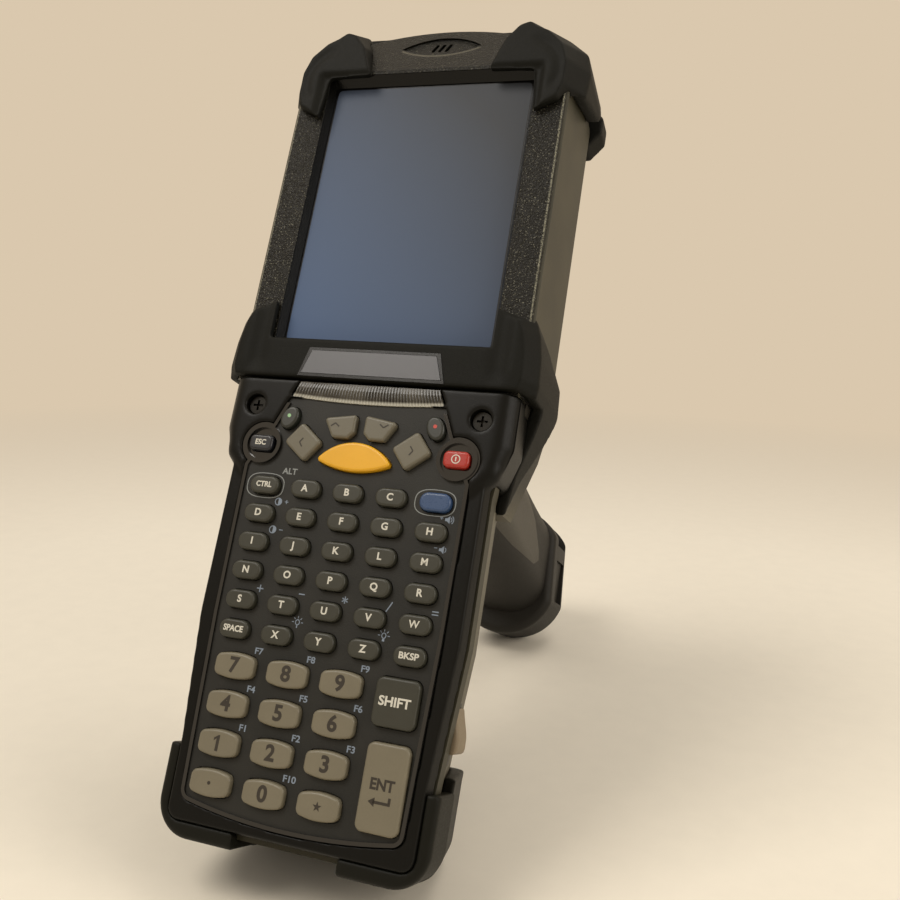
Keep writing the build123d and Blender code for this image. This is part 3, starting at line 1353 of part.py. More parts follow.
recess = (FOOT_BACK + 4.5, FOOT_TOP - 8)
with BuildPart() as handle_foot:
    add(grip_form)
    add(rubber_zone, mode=Mode.INTERSECT)
    add(grip_hollow, mode=Mode.SUBTRACT)
    add(foot)
    # strap eye: a web between two pockets at the nose side
    for side in (-1, 1):
        add(
            block(
                sorted((side * EYE_HALF, side * FOOT_WIDTH)),
                (FOOT_HIGH - 13, FOOT_HIGH + 12),
                (FOOT_BACK + 4, FOOT_TOP - 8),
            ),
            mode=Mode.SUBTRACT,
        )
    with BuildSketch(Plane.YZ):
        with Locations(EYE_AT):
            Circle(EYE)
    extrude(amount=EYE_HALF, both=True, mode=Mode.SUBTRACT)
    # shallow recess in each side
    for side in (-1, 1):
        across = sorted((side * (FOOT_WIDTH / 2 - 2.0), side * FOOT_WIDTH))
        add(block(across, (FOOT_LOW + 16, FOOT_HIGH - 19), recess), mode=Mode.SUBTRACT)
keep("handle_foot", handle_foot.part)

# ---------------------------------------------------------------- trigger, pin, spring, switch
top, front, tip, hook, toe, heel, back = below_grip_top(
    [(11.0, -3.2), (24.0, -4.5), (27.0, -8.0), (20.4, -26.0), (19.0, -44.0), (14.0, -46.5), (5.5, -43.0)]
)
with BuildPart() as trigger:
    with BuildSketch(Plane.YZ) as profile:
        with BuildLine():
            Polyline(top, front, tip)
            ThreePointArc(tip, hook, toe)
            Polyline(toe, heel, back, (back[0], tip[1]), top)
        make_face()
        fillet(profile.vertices().filter_by(lambda v: v.X > top[0] + 2), TRIGGER_CORNER)
    extrude(amount=TRIGGER_WIDTH / 2, both=True)
    sides = trigger.faces().filter_by(Plane.YZ)
    fillet(sides.edges().filter_by(lambda e: e.center().Y > top[0] + 2), TRIGGER_ROUND)
    with BuildSketch(Plane.YZ):
        with Locations(TRIGGER_PIN_AT):
            Circle(TRIGGER_PIN + TRIGGER_RUN)
    extrude(amount=TRIGGER_WIDTH, both=True, mode=Mode.SUBTRACT)
    # room for the spring on one side
    with BuildSketch(Plane.YZ.offset(-TRIGGER_WIDTH / 2)):
        with Locations(TRIGGER_PIN_AT):
            Circle(SPRING + 2 * SPRING_GAP)
    extrude(amount=3.0, mode=Mode.SUBTRACT)
keep("trigger", trigger.part)

with BuildPart() as trigger_pin:
    with BuildSketch(Plane.YZ.offset(-PIN_HALF)):
        with Locations(TRIGGER_PIN_AT):
            Circle(TRIGGER_PIN)
    extrude(amount=2 * PIN_HALF)
keep("trigger_pin", trigger_pin.part)

with BuildPart() as trigger_spring:
    with BuildSketch(Plane.YZ.offset(-TRIGGER_WIDTH / 2 + SPRING_GAP)):
        with Locations(TRIGGER_PIN_AT):
            Circle(SPRING)
            Circle(TRIGGER_PIN + 0.2, mode=Mode.SUBTRACT)
    extrude(amount=2.3)
keep("trigger_spring", trigger_spring.part)

with BuildPart() as trigger_switch:
    add(block(*SWITCH))
    # its plunger
    add(block((-1.5, 1.5), (SWITCH[1][1], SWITCH[1][1] + 0.5), (SWITCH[2][0] + 3, SWITCH[2][1] - 4)))
keep("trigger_switch", trigger_switch.part)

# ---------------------------------------------------------------- stand the terminal up
boot_round = (BOOT_LOW + STAND_ROUND, BOOT_BACK + STAND_ROUND)
foot_round = (FOOT_LOW + STAND_ROUND, FOOT_BACK + STAND_ROUND)
LEAN = degrees(atan2(boot_round[1] - foot_round[1], foot_round[0] - boot_round[0]))

turned = {name: part.rotate(Axis.X, LEAN) for name, part in pieces.items()}
box = Compound(list(turned.values())).bounding_box()
stand = Location((-(box.min.X + box.max.X) / 2, -(box.min.Y + box.max.Y) / 2, -box.min.Z))

os.makedirs("parts", exist_ok=True)
for name, part in turned.items():
    standing = part.moved(stand)
    standing.label = name
    export_step(standing, f"parts/{name}.step")

print("lean", LEAN, "stand", stand.position, "size", box.size)
for name, part in pieces.items():
    print(name, round(part.volume, 1), len(part.solids()), part.is_valid)
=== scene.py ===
import json
import math

import bmesh
import bpy
from mathutils import Matrix, Quaternion, Vector


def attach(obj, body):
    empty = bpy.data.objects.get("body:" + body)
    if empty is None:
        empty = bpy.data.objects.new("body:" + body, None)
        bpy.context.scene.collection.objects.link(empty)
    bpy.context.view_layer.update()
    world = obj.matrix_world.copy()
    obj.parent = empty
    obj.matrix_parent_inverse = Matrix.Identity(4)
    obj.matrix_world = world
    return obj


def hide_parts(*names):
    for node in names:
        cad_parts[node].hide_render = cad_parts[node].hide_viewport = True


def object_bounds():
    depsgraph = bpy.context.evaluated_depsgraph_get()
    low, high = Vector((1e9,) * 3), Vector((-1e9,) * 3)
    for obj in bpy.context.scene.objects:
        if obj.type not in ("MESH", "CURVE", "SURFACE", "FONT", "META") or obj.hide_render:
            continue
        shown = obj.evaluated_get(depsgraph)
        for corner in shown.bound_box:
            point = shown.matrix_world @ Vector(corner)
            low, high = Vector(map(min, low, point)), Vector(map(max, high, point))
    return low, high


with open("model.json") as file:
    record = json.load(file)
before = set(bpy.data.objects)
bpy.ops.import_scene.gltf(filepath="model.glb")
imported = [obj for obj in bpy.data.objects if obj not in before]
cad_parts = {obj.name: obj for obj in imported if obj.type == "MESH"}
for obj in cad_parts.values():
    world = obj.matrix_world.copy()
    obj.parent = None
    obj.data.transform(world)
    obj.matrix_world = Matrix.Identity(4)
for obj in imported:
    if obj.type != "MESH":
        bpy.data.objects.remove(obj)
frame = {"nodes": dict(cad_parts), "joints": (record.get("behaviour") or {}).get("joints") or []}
cad_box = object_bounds()
scene = bpy.context.scene

# ---------------------------------------------------------------- the terminal's own frame
# Pieces are drawn in millimetres in the frame of the terminal's body: x across it, v along it from
# the keypad end to the nose, w out of the face with w = 0 on the glass. STAND carries them to the
# row frame.
MM = 0.001
TRIGGER_PIN_AT = Vector((0.0, 131.0, -61.0))

joints = {joint["name"]: joint for joint in frame["joints"]}
press = Vector(joints["scan_key_press"]["axis"])
LEAN = math.atan2(press.y, -press.z)
TURN = Matrix.Rotation(LEAN, 4, "X")
ORIGIN = Vector(joints["trigger_pull"]["pos_m"]) - TURN @ (TRIGGER_PIN_AT * MM)
STAND = Matrix.Translation(ORIGIN) @ TURN @ Matrix.Scale(MM, 4)
BODY_FRAME = STAND.inverted()

# ---------------------------------------------------------------- places that materials follow
# the front housing
SIDE_AT = 39.5                  # where its face ends and its side walls begin
WORN_AND_SHEEN_AT = 38.95                 # the line along the edge of its face: wear, with a painted highlight
FACE_LOW = 113.0                # the lower end of the face, under the collar
COLLAR_SHADE = (103.0, 116.0)   # the part of the side walls beside the collar's tails, where the collar's shade is painted
SURROUND_AT = (30.7, 206.9)     # the display's black surround: half its width, its upper end

# the recess round the speaker slots: half its width, where its ends are, the bow of its lower side
RECESS_HALF = 12.0
RECESS_AT = 217.5
RECESS_SAG = 3.2

# the rear housing
HEAD_LOW = 113.5                # the lower end of the part behind the display
NECK_AT = 92.0                  # the middle of the shade under that part
END_AT = 3.0                    # the upper edge of the dark keypad end
RELEASE_AT = (32.4, -8.4)       # the painted shade in the slots round the release buttons, in v and w
RELEASE_HALF = (7.3, 5.5)

# the keypad plate
PLATE_TOP = 4.0
RIM_AT = 4.1                    # the height at which its glossy rim begins
WELL_AT = (26.6, 95.7)          # the wells of the ESC key (at -x) and the power key
WELL_RADIUS = 5.3

# the light bar
BAR_RIBS = 50
BAR_LOW = 109.0
BAR_HIGH = 113.1
BAR_HALF = (21.0, 19.3)         # at its lower and upper edge
BAR_BOW = 0.9

# ---------------------------------------------------------------- camera
CAMERA_AT = Vector((96.65, 45.0, 213.48))
CAMERA_TURN = Quaternion((0.97759, 0.12919, 0.15443, 0.06152))
CAMERA_LENS = 37.49
SENSOR = 36.0
CLIP_START = 0.01

camera = bpy.data.objects.new("camera", bpy.data.cameras.new("camera"))
scene.collection.objects.link(camera)
camera.data.lens = CAMERA_LENS
camera.data.sensor_width = SENSOR
camera.data.clip_start = CLIP_START
camera.rotation_mode = "QUATERNION"
camera.rotation_quaternion = TURN.to_quaternion() @ CAMERA_TURN
camera.location = STAND @ CAMERA_AT
scene.camera = camera
scene.view_settings.view_transform = "Standard"


# ---------------------------------------------------------------- materials
def srgb(red, green, blue):
    """A display colour, 0 to 255, as the linear colour that Blender's sockets take."""
    values = []
    for part in (red, green, blue):
        part /= 255
        values.append(part / 12.92 if part <= 0.04045 else ((part + 0.055) / 1.055) ** 2.4)
    return (*values, 1.0)


def shade(colour, factor):
    """The same colour, lighter or darker."""
    return (*[min(1.0, part * factor) for part in colour[:3]], 1.0)


class Nodes:
    """Short calls for one material's nodes. Inputs are numbers, colours or other nodes' outputs."""

    def __init__(self, name):
        self.material = bpy.data.materials.new(name)
        self.material.use_nodes = True
        self.tree = self.material.node_tree
        self.shader = self.tree.nodes["Principled BSDF"]
        self.place = self.node("ShaderNodeTexCoord").outputs["Object"]

    def node(self, kind, **settings):
        made = self.tree.nodes.new(kind)
        for key, value in settings.items():
            setattr(made, key, value)
        return made

    def feed(self, socket, value):
        if isinstance(value, bpy.types.NodeSocket):
            self.tree.links.new(value, socket)
        else:
            socket.default_value = value

    def noise(self, size_mm, detail=2.0, roughness=0.5):
        """Noise whose lumps are about this many millimetres across."""
        made = self.node("ShaderNodeTexNoise")
        self.feed(made.inputs["Vector"], self.place)
        made.inputs["Scale"].default_value = 1 / (size_mm * MM)
        made.inputs["Detail"].default_value = detail
        made.inputs["Roughness"].default_value = roughness
        return made.outputs["Fac"]

    def cells(self, size_mm):
        """Distance to the middle of the nearest random cell."""
        made = self.node("ShaderNodeTexVoronoi")
        self.feed(made.inputs["Vector"], self.place)
        made.inputs["Scale"].default_value = 1 / (size_mm * MM)
        return made.outputs["Distance"]

    def math(self, operation, first, second=0.0, third=0.0):
        made = self.node("ShaderNodeMath", operation=operation)
        for socket, value in zip(made.inputs, (first, second, third)):
            self.feed(socket, value)
        return made.outputs[0]

    def times(self, first, second):
        return self.math("MULTIPLY", first, second)

    def less(self, first, second):
        return self.math("SUBTRACT", first, second)

    def size(self, value):
        return self.math("ABSOLUTE", value)

    def reach(self, across, along):
        """The distance that two steps at right angles make together."""
        squares = self.math("MULTIPLY_ADD", across, across, self.times(along, along))
        return self.math("SQRT", squares)

    def span(self, value, low, high, out_low=0.0, out_high=1.0):
        """The value carried from one range to another, clamped."""
        made = self.node("ShaderNodeMapRange")
        keys = ("Value", "From Min", "From Max", "To Min", "To Max")
        for key, number in zip(keys, (value, low, high, out_low, out_high)):
            self.feed(made.inputs[key], number)
        return made.outputs[0]

    def past(self, place, limit_mm, ease_mm):
        """1 beyond a limit and 0 before it, eased over a width round it."""
        low, high = limit_mm - ease_mm / 2, limit_mm + ease_mm / 2
        return self.span(place, low * MM, high * MM)

    def within(self, place, limit_mm, ease_mm):
        """1 before a limit and 0 beyond it, eased over a width round it."""
        low, high = limit_mm - ease_mm / 2, limit_mm + ease_mm / 2
        return self.span(place, low * MM, high * MM, 1.0, 0.0)

    def mix(self, share, first, second):
        made = self.node("ShaderNodeMix", data_type="RGBA")
        self.feed(made.inputs["Factor"], share)
        self.feed(made.inputs[6], first)
        self.feed(made.inputs[7], second)
        return made.outputs[2]

    def body_place(self):
        """x, v and w in the terminal's frame, in metres, for a piece that stays on the housing."""
        made = self.node("ShaderNodeMapping", vector_type="TEXTURE")
        self.feed(made.inputs["Vector"], self.place)
        made.inputs["Location"].default_value = ORIGIN
        made.inputs["Rotation"].default_value = (LEAN, 0, 0)
        split = self.node("ShaderNodeSeparateXYZ")
        self.feed(split.inputs[0], made.outputs[0])
        return split.outputs

    def bump(self, height, depth_mm):
        made = self.node("ShaderNodeBump")
        made.inputs["Distance"].default_value = depth_mm * MM
        self.feed(made.inputs["Height"], height)
        return made.outputs[0]

    def surface(self, colour, roughness, normal=None, specular=0.5):
        """Feeds the shader, and gives the finished material."""
        self.feed(self.shader.inputs["Base Color"], colour)
        self.feed(self.shader.inputs["Roughness"], roughness)
        if normal:
            self.feed(self.shader.inputs["Normal"], normal)
        self.shader.inputs["Specular IOR Level"].default_value = specular
        return self.material


def moulded(name, colour, roughness, grain_mm, grain_deep, mottle=0.12, specular=0.5):
    """The nodes of a moulded plastic or rubber: a fine grain, slow changes of tone, and a
    roughness that follows the grain."""
    nodes = Nodes(name)
    tone = nodes.noise(9.0, 4.0)
    fine = nodes.noise(grain_mm, 3.0, 0.6)
    share = nodes.math("MULTIPLY_ADD", tone, 0.7, nodes.times(fine, 0.3))
    base = nodes.mix(
        nodes.span(share, 0.3, 0.7), shade(colour, 1 - mottle), shade(colour, 1 + mottle)
    )
    rough = nodes.span(fine, 0.3, 0.7, roughness - 0.06, roughness + 0.08)
    nodes.surface(base, rough, nodes.bump(fine, grain_deep), specular)
    return nodes


def plain(*settings, **more):
    """A moulded material, with moulded's settings."""
    return moulded(*settings, **more).material


def printed(name, colour):
    """Screen-printed ink, slightly uneven."""
    return plain(name, colour, 0.55, 0.3, 0.004, mottle=0.06)


def metal(name, colour, roughness):
    """Bare metal with a fine grain."""
    nodes = moulded(name, colour, roughness, 0.3, 0.01, mottle=0.08)
    nodes.shader.inputs["Metallic"].default_value = 1.0
    return nodes.material


def painted_step_line(nodes, x, v, aside):
    """A line along the lower side of the recess round the speaker slots, moved aside by so many
    millimetres: 1 in its middle. The step's painted shadow and painted highlight are drawn with it."""
    radius = (RECESS_HALF**2 + RECESS_SAG**2) / (2 * RECESS_SAG)
    below = nodes.less((RECESS_AT - RECESS_SAG + radius) * MM, v)
    off = nodes.size(nodes.less(nodes.reach(x, below), (radius + aside) * MM))
    line = nodes.within(off, 0.375, 0.15)
    along = nodes.within(nodes.size(x), RECESS_HALF - 0.25, 0.5)
    low = nodes.within(v, RECESS_AT + 0.15, 0.3)
    return nodes.times(nodes.times(line, along), low)


def housing_material():
    """The front housing: coarse sparkling texture on its face and cap, smooth side walls."""
    nodes = Nodes("textured_housing")
    x, v, _ = nodes.body_place()
    across = nodes.size(x)
    side = nodes.past(across, SIDE_AT, 0.4)
    face = nodes.times(nodes.less(1.0, side), nodes.past(v, FACE_LOW, 2.0))
    beside_window = nodes.within(across, SURROUND_AT[0], 0.2)
    surround = nodes.times(beside_window, nodes.within(v, SURROUND_AT[1], 0.2))
    tone = nodes.noise(14.0, 3.0)
    fine = nodes.noise(0.34, 2.0, 0.7)
    pebble = nodes.cells(0.5)
    fleck = nodes.span(nodes.noise(0.36, 1.0), 0.64, 0.71)
    # a pale line along the face's edge: wear, with a painted highlight on it
    from_edge = nodes.size(nodes.less(across, WORN_AND_SHEEN_AT * MM))
    wear_and_sheen = nodes.times(nodes.within(from_edge, 0.2, 0.2), nodes.span(fine, 0.4, 0.58))
    # the flecks thin out towards the nose: a painted shade that darkens the cap
    sparkle = nodes.times(fleck, nodes.span(v, 160 * MM, 212 * MM, 0.62, 0.34))
    bright = nodes.math("MAXIMUM", sparkle, wear_and_sheen)
    face_colour = nodes.mix(bright, srgb(18, 17, 13), srgb(146, 142, 122))
    face_colour = nodes.mix(surround, face_colour, srgb(9, 9, 8))
    # a pale line below the recess's step: a painted highlight
    face_colour = nodes.mix(painted_step_line(nodes, x, v, 0.7), face_colour, srgb(84, 80, 68))
    # a dark line along the recess's step: a painted shadow
    face_colour = nodes.mix(painted_step_line(nodes, x, v, 0.0), face_colour, srgb(6, 6, 5))
    side_colour = nodes.mix(nodes.span(tone, 0.35, 0.65), srgb(50, 48, 37), srgb(59, 56, 43))
    # painted shade that the collar's tails cast on the side walls
    beside_collar = nodes.times(
        nodes.past(v, COLLAR_SHADE[0], 6.0), nodes.within(v, COLLAR_SHADE[1], 1.0)
    )
    side_colour = nodes.mix(beside_collar, side_colour, srgb(15, 14, 11))
    matt = nodes.span(face, 0.0, 1.0, 0.46, 0.34)
    grainy = nodes.times(face, nodes.less(1.0, surround))
    grain = nodes.times(nodes.math("ADD", fine, pebble), nodes.span(grainy, 0.0, 1.0, 0.08, 1.0))
    return nodes.surface(
        nodes.mix(face, side_colour, face_colour),
        nodes.math("MULTIPLY_ADD", surround, -0.14, matt),
        nodes.bump(grain, 0.18),
        specular=0.2,
    )


def rear_material():
    """The rear housing: near black behind the display, olive grey along the keypad."""
    nodes = Nodes("rear_housing_plastic")
    _, v, w = nodes.body_place()
    tone = nodes.span(nodes.noise(12.0, 3.0), 0.35, 0.65)
    fine = nodes.noise(0.4, 3.0, 0.6)
    # painted shade in the slots round the release buttons
    along = nodes.size(nodes.less(v, RELEASE_AT[0] * MM))
    deep = nodes.size(nodes.less(w, RELEASE_AT[1] * MM))
    release = nodes.times(
        nodes.within(along, RELEASE_HALF[0] - 0.05, 0.1),
        nodes.within(deep, RELEASE_HALF[1] - 0.05, 0.1),
    )
    low = nodes.mix(tone, srgb(74, 70, 56), srgb(85, 80, 63))
    low = nodes.mix(release, low, srgb(10, 10, 9))
    low = nodes.mix(nodes.past(v, NECK_AT, 12.0), low, srgb(36, 33, 26))
    low = nodes.mix(nodes.past(v, END_AT, 2.0), srgb(24, 23, 19), low)
    high = nodes.mix(tone, srgb(24, 23, 20), srgb(31, 29, 25))
    return nodes.surface(
        nodes.mix(nodes.past(v, HEAD_LOW, 2.0), low, high),
        nodes.span(fine, 0.3, 0.7, 0.46, 0.6),
        nodes.bump(fine, 0.05),
        specular=0.35,
    )


def plate_material():
    """The keypad plate: fine matt texture, with its raised rim and its two wells glossy black."""
    nodes = Nodes("keypad_plate_plastic")
    x, v, w = nodes.body_place()
    rim = nodes.past(w, RIM_AT, 0.1)
    across = nodes.less(nodes.size(x), WELL_AT[0] * MM)
    up = nodes.less(v, WELL_AT[1] * MM)
    well = nodes.within(nodes.reach(across, up), WELL_RADIUS, 0.2)
    gloss = nodes.math("MAXIMUM", rim, well)
    tone = nodes.span(nodes.noise(10.0, 3.0), 0.35, 0.65)
    fine = nodes.noise(0.3, 3.0, 0.6)
    matt = nodes.mix(tone, srgb(30, 30, 27), srgb(37, 36, 32))
    grain = nodes.times(fine, nodes.span(gloss, 0.0, 1.0, 1.0, 0.05))
    nodes.feed(nodes.shader.inputs["Coat Weight"], gloss)
    nodes.shader.inputs["Coat Roughness"].default_value = 0.06
    return nodes.surface(
        nodes.mix(gloss, matt, srgb(10, 10, 11)),
        nodes.span(gloss, 0.0, 1.0, 0.52, 0.12),
        nodes.bump(grain, 0.05),
        specular=0.3,
    )


def bar_material():
    """The clear light bar: painted shade between its ribs, and a painted highlight along its lower
    edge.
    """
    nodes = Nodes("clear_ribbed_plastic")
    x, v, _ = nodes.body_place()
    # a painted highlight along the lower edge
    bow = nodes.times(nodes.times(x, x), BAR_BOW / BAR_HALF[0] ** 2 / MM)
    edge = nodes.less(v, nodes.math("ADD", bow, (BAR_LOW - BAR_BOW) * MM))
    lit = nodes.within(edge, 0.8, 0.6)
    # darker between the ribs: painted shade
    rib = nodes.math("SINE", nodes.times(x, 2 * math.pi * BAR_RIBS / (2 * BAR_HALF[0] * MM)))
    cloud = nodes.span(nodes.noise(4.5, 2.0), 0.35, 0.65)
    share = nodes.math("MULTIPLY_ADD", rib, 0.25, nodes.math("MULTIPLY_ADD", cloud, 0.5, 0.25))
    body = nodes.mix(share, srgb(24, 22, 19), srgb(78, 73, 62))
    return nodes.surface(
        nodes.mix(lit, body, srgb(178, 173, 158)), nodes.span(cloud, 0.0, 1.0, 0.12, 0.24)
    )


def screen_material():
    """The unlit display: blue grey low on the left, with painted shade that turns it a darker grey
    towards the upper right.
    """
    nodes = Nodes("unlit_display")
    x, v, _ = nodes.body_place()
    # painted shade, darker towards the upper right
    slope = nodes.math("MULTIPLY_ADD", x, 0.8, nodes.times(v, 0.75))
    slope = nodes.math("MULTIPLY_ADD", nodes.noise(60.0, 1.0), 0.01, slope)
    share = nodes.span(slope, 0.075, 0.165)
    return nodes.surface(
        nodes.mix(share, srgb(84, 102, 132), srgb(64, 66, 70)),
        nodes.span(nodes.noise(0.25, 1.0), 0.3, 0.7, 0.34, 0.42),
        specular=0.1,
    )


HOUSING = housing_material()
REAR = rear_material()
SCREEN = screen_material()
PLATE = plate_material()
CLEAR = bar_material()
RUBBER = plain("moulded_rubber", srgb(17, 17, 13), 0.58, 0.35, 0.05, mottle=0.14, specular=0.13)
END_RUBBER = plain("end_rubber", srgb(15, 15, 9), 0.48, 0.4, 0.04, mottle=0.16, specular=0.16)
BEZEL = plain("keypad_bezel_plastic", srgb(9, 9, 7), 0.36, 0.35, 0.03, specular=0.17)
GLASS = plain("black_border_glass", srgb(7, 7, 8), 0.4, 0.5, 0.0, mottle=0.05, specular=0.2)
FRAME_AND_GAP_SHADE = plain("frame_black_plastic", srgb(9, 9, 9), 0.3, 0.4, 0.01, specular=0.35)
LABEL = plain("bare_label_film", srgb(60, 59, 56), 0.34, 0.4, 0.006, mottle=0.05)
GASKET = plain("gasket_foam", srgb(14, 14, 13), 0.8, 0.4, 0.05, specular=0.2)
NAMEPLATE = plain("satin_nameplate", srgb(86, 86, 89), 0.36, 0.3, 0.01, mottle=0.05)
LETTER_KEY = plain(
    "letter_key_plastic", srgb(53, 52, 43), 0.4, 0.3, 0.015, mottle=0.1, specular=0.4
)
NUMBER_KEY = plain(
    "number_key_plastic", srgb(116, 108, 89), 0.38, 0.4, 0.012, mottle=0.07, specular=0.4
)
TAUPE_KEY = plain(
    "arrow_key_plastic", srgb(104, 98, 82), 0.34, 0.4, 0.012, mottle=0.07, specular=0.4
)
AMBER_KEY = plain("amber_key_plastic", srgb(226, 166, 26), 0.34, 0.4, 0.01, mottle=0.05)
RED_KEY = plain("red_key_plastic", srgb(164, 42, 30), 0.3, 0.4, 0.01, mottle=0.06)
BLUE_KEY = plain("blue_key_plastic", srgb(50, 72, 106), 0.3, 0.4, 0.01, mottle=0.06)
ESCAPE_KEY = plain("escape_key_plastic", srgb(24, 25, 31), 0.32, 0.4, 0.01, mottle=0.08)
DOT_KEY = plain("dot_key_plastic", srgb(36, 38, 32), 0.36, 0.4, 0.01, mottle=0.08)
BUTTON = plain(
    "beige_button_plastic", srgb(122, 107, 84), 0.42, 0.4, 0.015, mottle=0.06, specular=0.4
)
HANDLE = plain("handle_plastic", srgb(50, 46, 37), 0.46, 0.4, 0.05, mottle=0.1, specular=0.35)
HANDLE_RUBBER = plain(
    "handle_rubber", srgb(26, 24, 20), 0.56, 0.4, 0.06, mottle=0.14, specular=0.28
)
BATTERY = plain("battery_plastic", srgb(40, 38, 32), 0.5, 0.4, 0.05, specular=0.35)
TRIGGER = plain("trigger_plastic", srgb(26, 25, 23), 0.42, 0.4, 0.03)
INSIDE = plain("inner_plastic", srgb(20, 20, 18), 0.6, 0.5, 0.03)
BOARD = plain("circuit_board", srgb(24, 62, 38), 0.45, 0.5, 0.02)
STEEL = metal("screw_steel", srgb(120, 118, 112), 0.3)
BLACK_STEEL = metal("black_screw_steel", srgb(40, 39, 37), 0.4)
SCAN_GLASS = plain("scan_window_filter", srgb(44, 10, 12), 0.08, 0.5, 0.0, mottle=0.05)
PALE_INK = printed("pale_ink", srgb(206, 200, 184))
DARK_INK = printed("dark_ink", srgb(42, 35, 26))
BLUE_INK = printed("blue_ink", srgb(128, 138, 150))
ALT_INK = printed("grey_ink", srgb(136, 138, 134))
GREEN_DOT = printed("green_dot", srgb(150, 190, 140))
RED_DOT = printed("red_dot", srgb(190, 74, 62))

LETTER_ROWS = [f"letter_keys_row_{row}" for row in range(1, 7)]
NUMBER_ROWS = [f"number_keys_row_{row}" for row in range(1, 5)]
finishes = {
    HOUSING: ["front_housing"],
    REAR: ["rear_housing"],
    RUBBER: ["nose_bumper", "top_right_bumper", "top_left_bumper", "collar_bumper"],
    END_RUBBER: ["bottom_left_bumper", "bottom_right_bumper", "rear_boot"],
    BEZEL: ["keypad_bezel", "keypad_mat"],
    PLATE: ["keypad_plate"],
    GLASS: ["display_glass"],
    GASKET: ["display_gasket"],
    NAMEPLATE: ["nameplate"],
    LETTER_KEY: [*LETTER_ROWS, "shift_key"],
    NUMBER_KEY: [*NUMBER_ROWS, "enter_key"],
    TAUPE_KEY: ["left_arrow_key", "right_arrow_key", "up_arrow_key", "down_arrow_key"],
    AMBER_KEY: ["scan_key"],
    RED_KEY: ["power_key"],
    BLUE_KEY: ["blue_key"],
    ESCAPE_KEY: ["escape_key"],
    DOT_KEY: ["left_dot_key", "right_dot_key"],
    BUTTON: ["left_release_button", "right_release_button"],
    HANDLE: ["handle_left_shell", "handle_right_shell"],
    HANDLE_RUBBER: ["handle_foot"],
    BATTERY: ["battery_pack", "battery_latch"],
    TRIGGER: ["trigger"],
    INSIDE: [
        "display_module", "speaker", "scan_engine", "scan_bracket", "io_connector",
        "trigger_switch",
    ],
    BOARD: ["main_board", "keypad_board"],
    STEEL: ["housing_screws", "handle_screws", "trigger_pin", "trigger_spring"],
    BLACK_STEEL: ["keypad_screws"],
    SCAN_GLASS: ["scan_window"],
}
for material, names in finishes.items():
    for name in names:
        node = frame["nodes"][name]
        node.data.materials.clear()
        node.data.materials.append(material)

# ---------------------------------------------------------------- floor and light
FLOOR = srgb(246, 234, 213)
BACKDROP = srgb(218, 200, 174)
FLOOR_HALF = 6.0
FLOOR_FADE = (0.3, 0.9)         # from the lit floor to the colour of the backdrop, in metres
WORLD_COLOUR = (1.0, 0.975, 0.94, 1.0)
WORLD_LEVEL = 0.4


def seen_rays(tree):
    """1 for camera, glossy and transmitted rays, 0 for the rest."""
    path = tree.nodes.new("ShaderNodeLightPath")
    seen = path.outputs["Is Camera Ray"]
    for ray in ("Is Glossy Ray", "Is Transmission Ray"):
        either = tree.nodes.new("ShaderNodeMath")
        either.operation = "MAXIMUM"
        tree.links.new(seen, either.inputs[0])
        tree.links.new(path.outputs[ray], either.inputs[1])
        seen = either.outputs[0]
    return seen


def floor_material():
    """Pale paper round the object that goes over into the backdrop's colour."""
    nodes = moulded("floor_paper", FLOOR, 0.85, 2.0, 0.02, mottle=0.015, specular=0.1)
    distance = nodes.node("ShaderNodeVectorMath", operation="LENGTH")
    nodes.feed(distance.inputs[0], nodes.place)
    far = nodes.span(distance.outputs["Value"], *FLOOR_FADE)
    glow = nodes.node("ShaderNodeEmission")
    glow.inputs["Color"].default_value = BACKDROP
    mix = nodes.node("ShaderNodeMixShader")
    nodes.feed(mix.inputs[0], nodes.times(far, seen_rays(nodes.tree)))
    nodes.feed(mix.inputs[1], nodes.shader.outputs[0])
    nodes.feed(mix.inputs[2], glow.outputs[0])
    nodes.feed(nodes.tree.nodes["Material Output"].inputs["Surface"], mix.outputs[0])
    return nodes.material


floor_mesh = bpy.data.meshes.new("floor")
floor_corners = [
    (x * FLOOR_HALF, y * FLOOR_HALF, 0) for x, y in ((-1, -1), (1, -1), (1, 1), (-1, 1))
]
floor_mesh.from_pydata(floor_corners, [], [(0, 1, 2, 3)])
floor = bpy.data.objects.new("floor", floor_mesh)
scene.collection.objects.link(floor)
floor_mesh.materials.append(floor_material())


def world_light():
    """A pale backdrop for camera, glossy and transmitted rays, an even soft light for the rest."""
    world = bpy.data.worlds.new("studio")
    scene.world = world
    world.use_nodes = True
    tree = world.node_tree
    tree.nodes.clear()
    seen = tree.nodes.new("ShaderNodeBackground")
    seen.inputs["Color"].default_value = BACKDROP
    light = tree.nodes.new("ShaderNodeBackground")
    light.inputs["Color"].default_value = WORLD_COLOUR
    light.inputs["Strength"].default_value = WORLD_LEVEL
    mix = tree.nodes.new("ShaderNodeMixShader")
    tree.links.new(seen_rays(tree), mix.inputs[0])
    tree.links.new(light.outputs[0], mix.inputs[1])
    tree.links.new(seen.outputs[0], mix.inputs[2])
    out = tree.nodes.new("ShaderNodeOutputWorld")
    tree.links.new(mix.outputs[0], out.inputs[0])


def soft_lamp(name, place, size, power, colour):
    """A square area lamp aimed at the middle of the terminal, in metres and watts."""
    lamp = bpy.data.objects.new(name, bpy.data.lights.new(name, "AREA"))
    lamp.data.size = size
    lamp.data.energy = power
    lamp.data.color = colour
    lamp.location = place
    middle = (cad_box[0] + cad_box[1]) / 2
    lamp.rotation_euler = (middle - Vector(place)).to_track_quat("-Z", "Y").to_euler()
    scene.collection.objects.link(lamp)


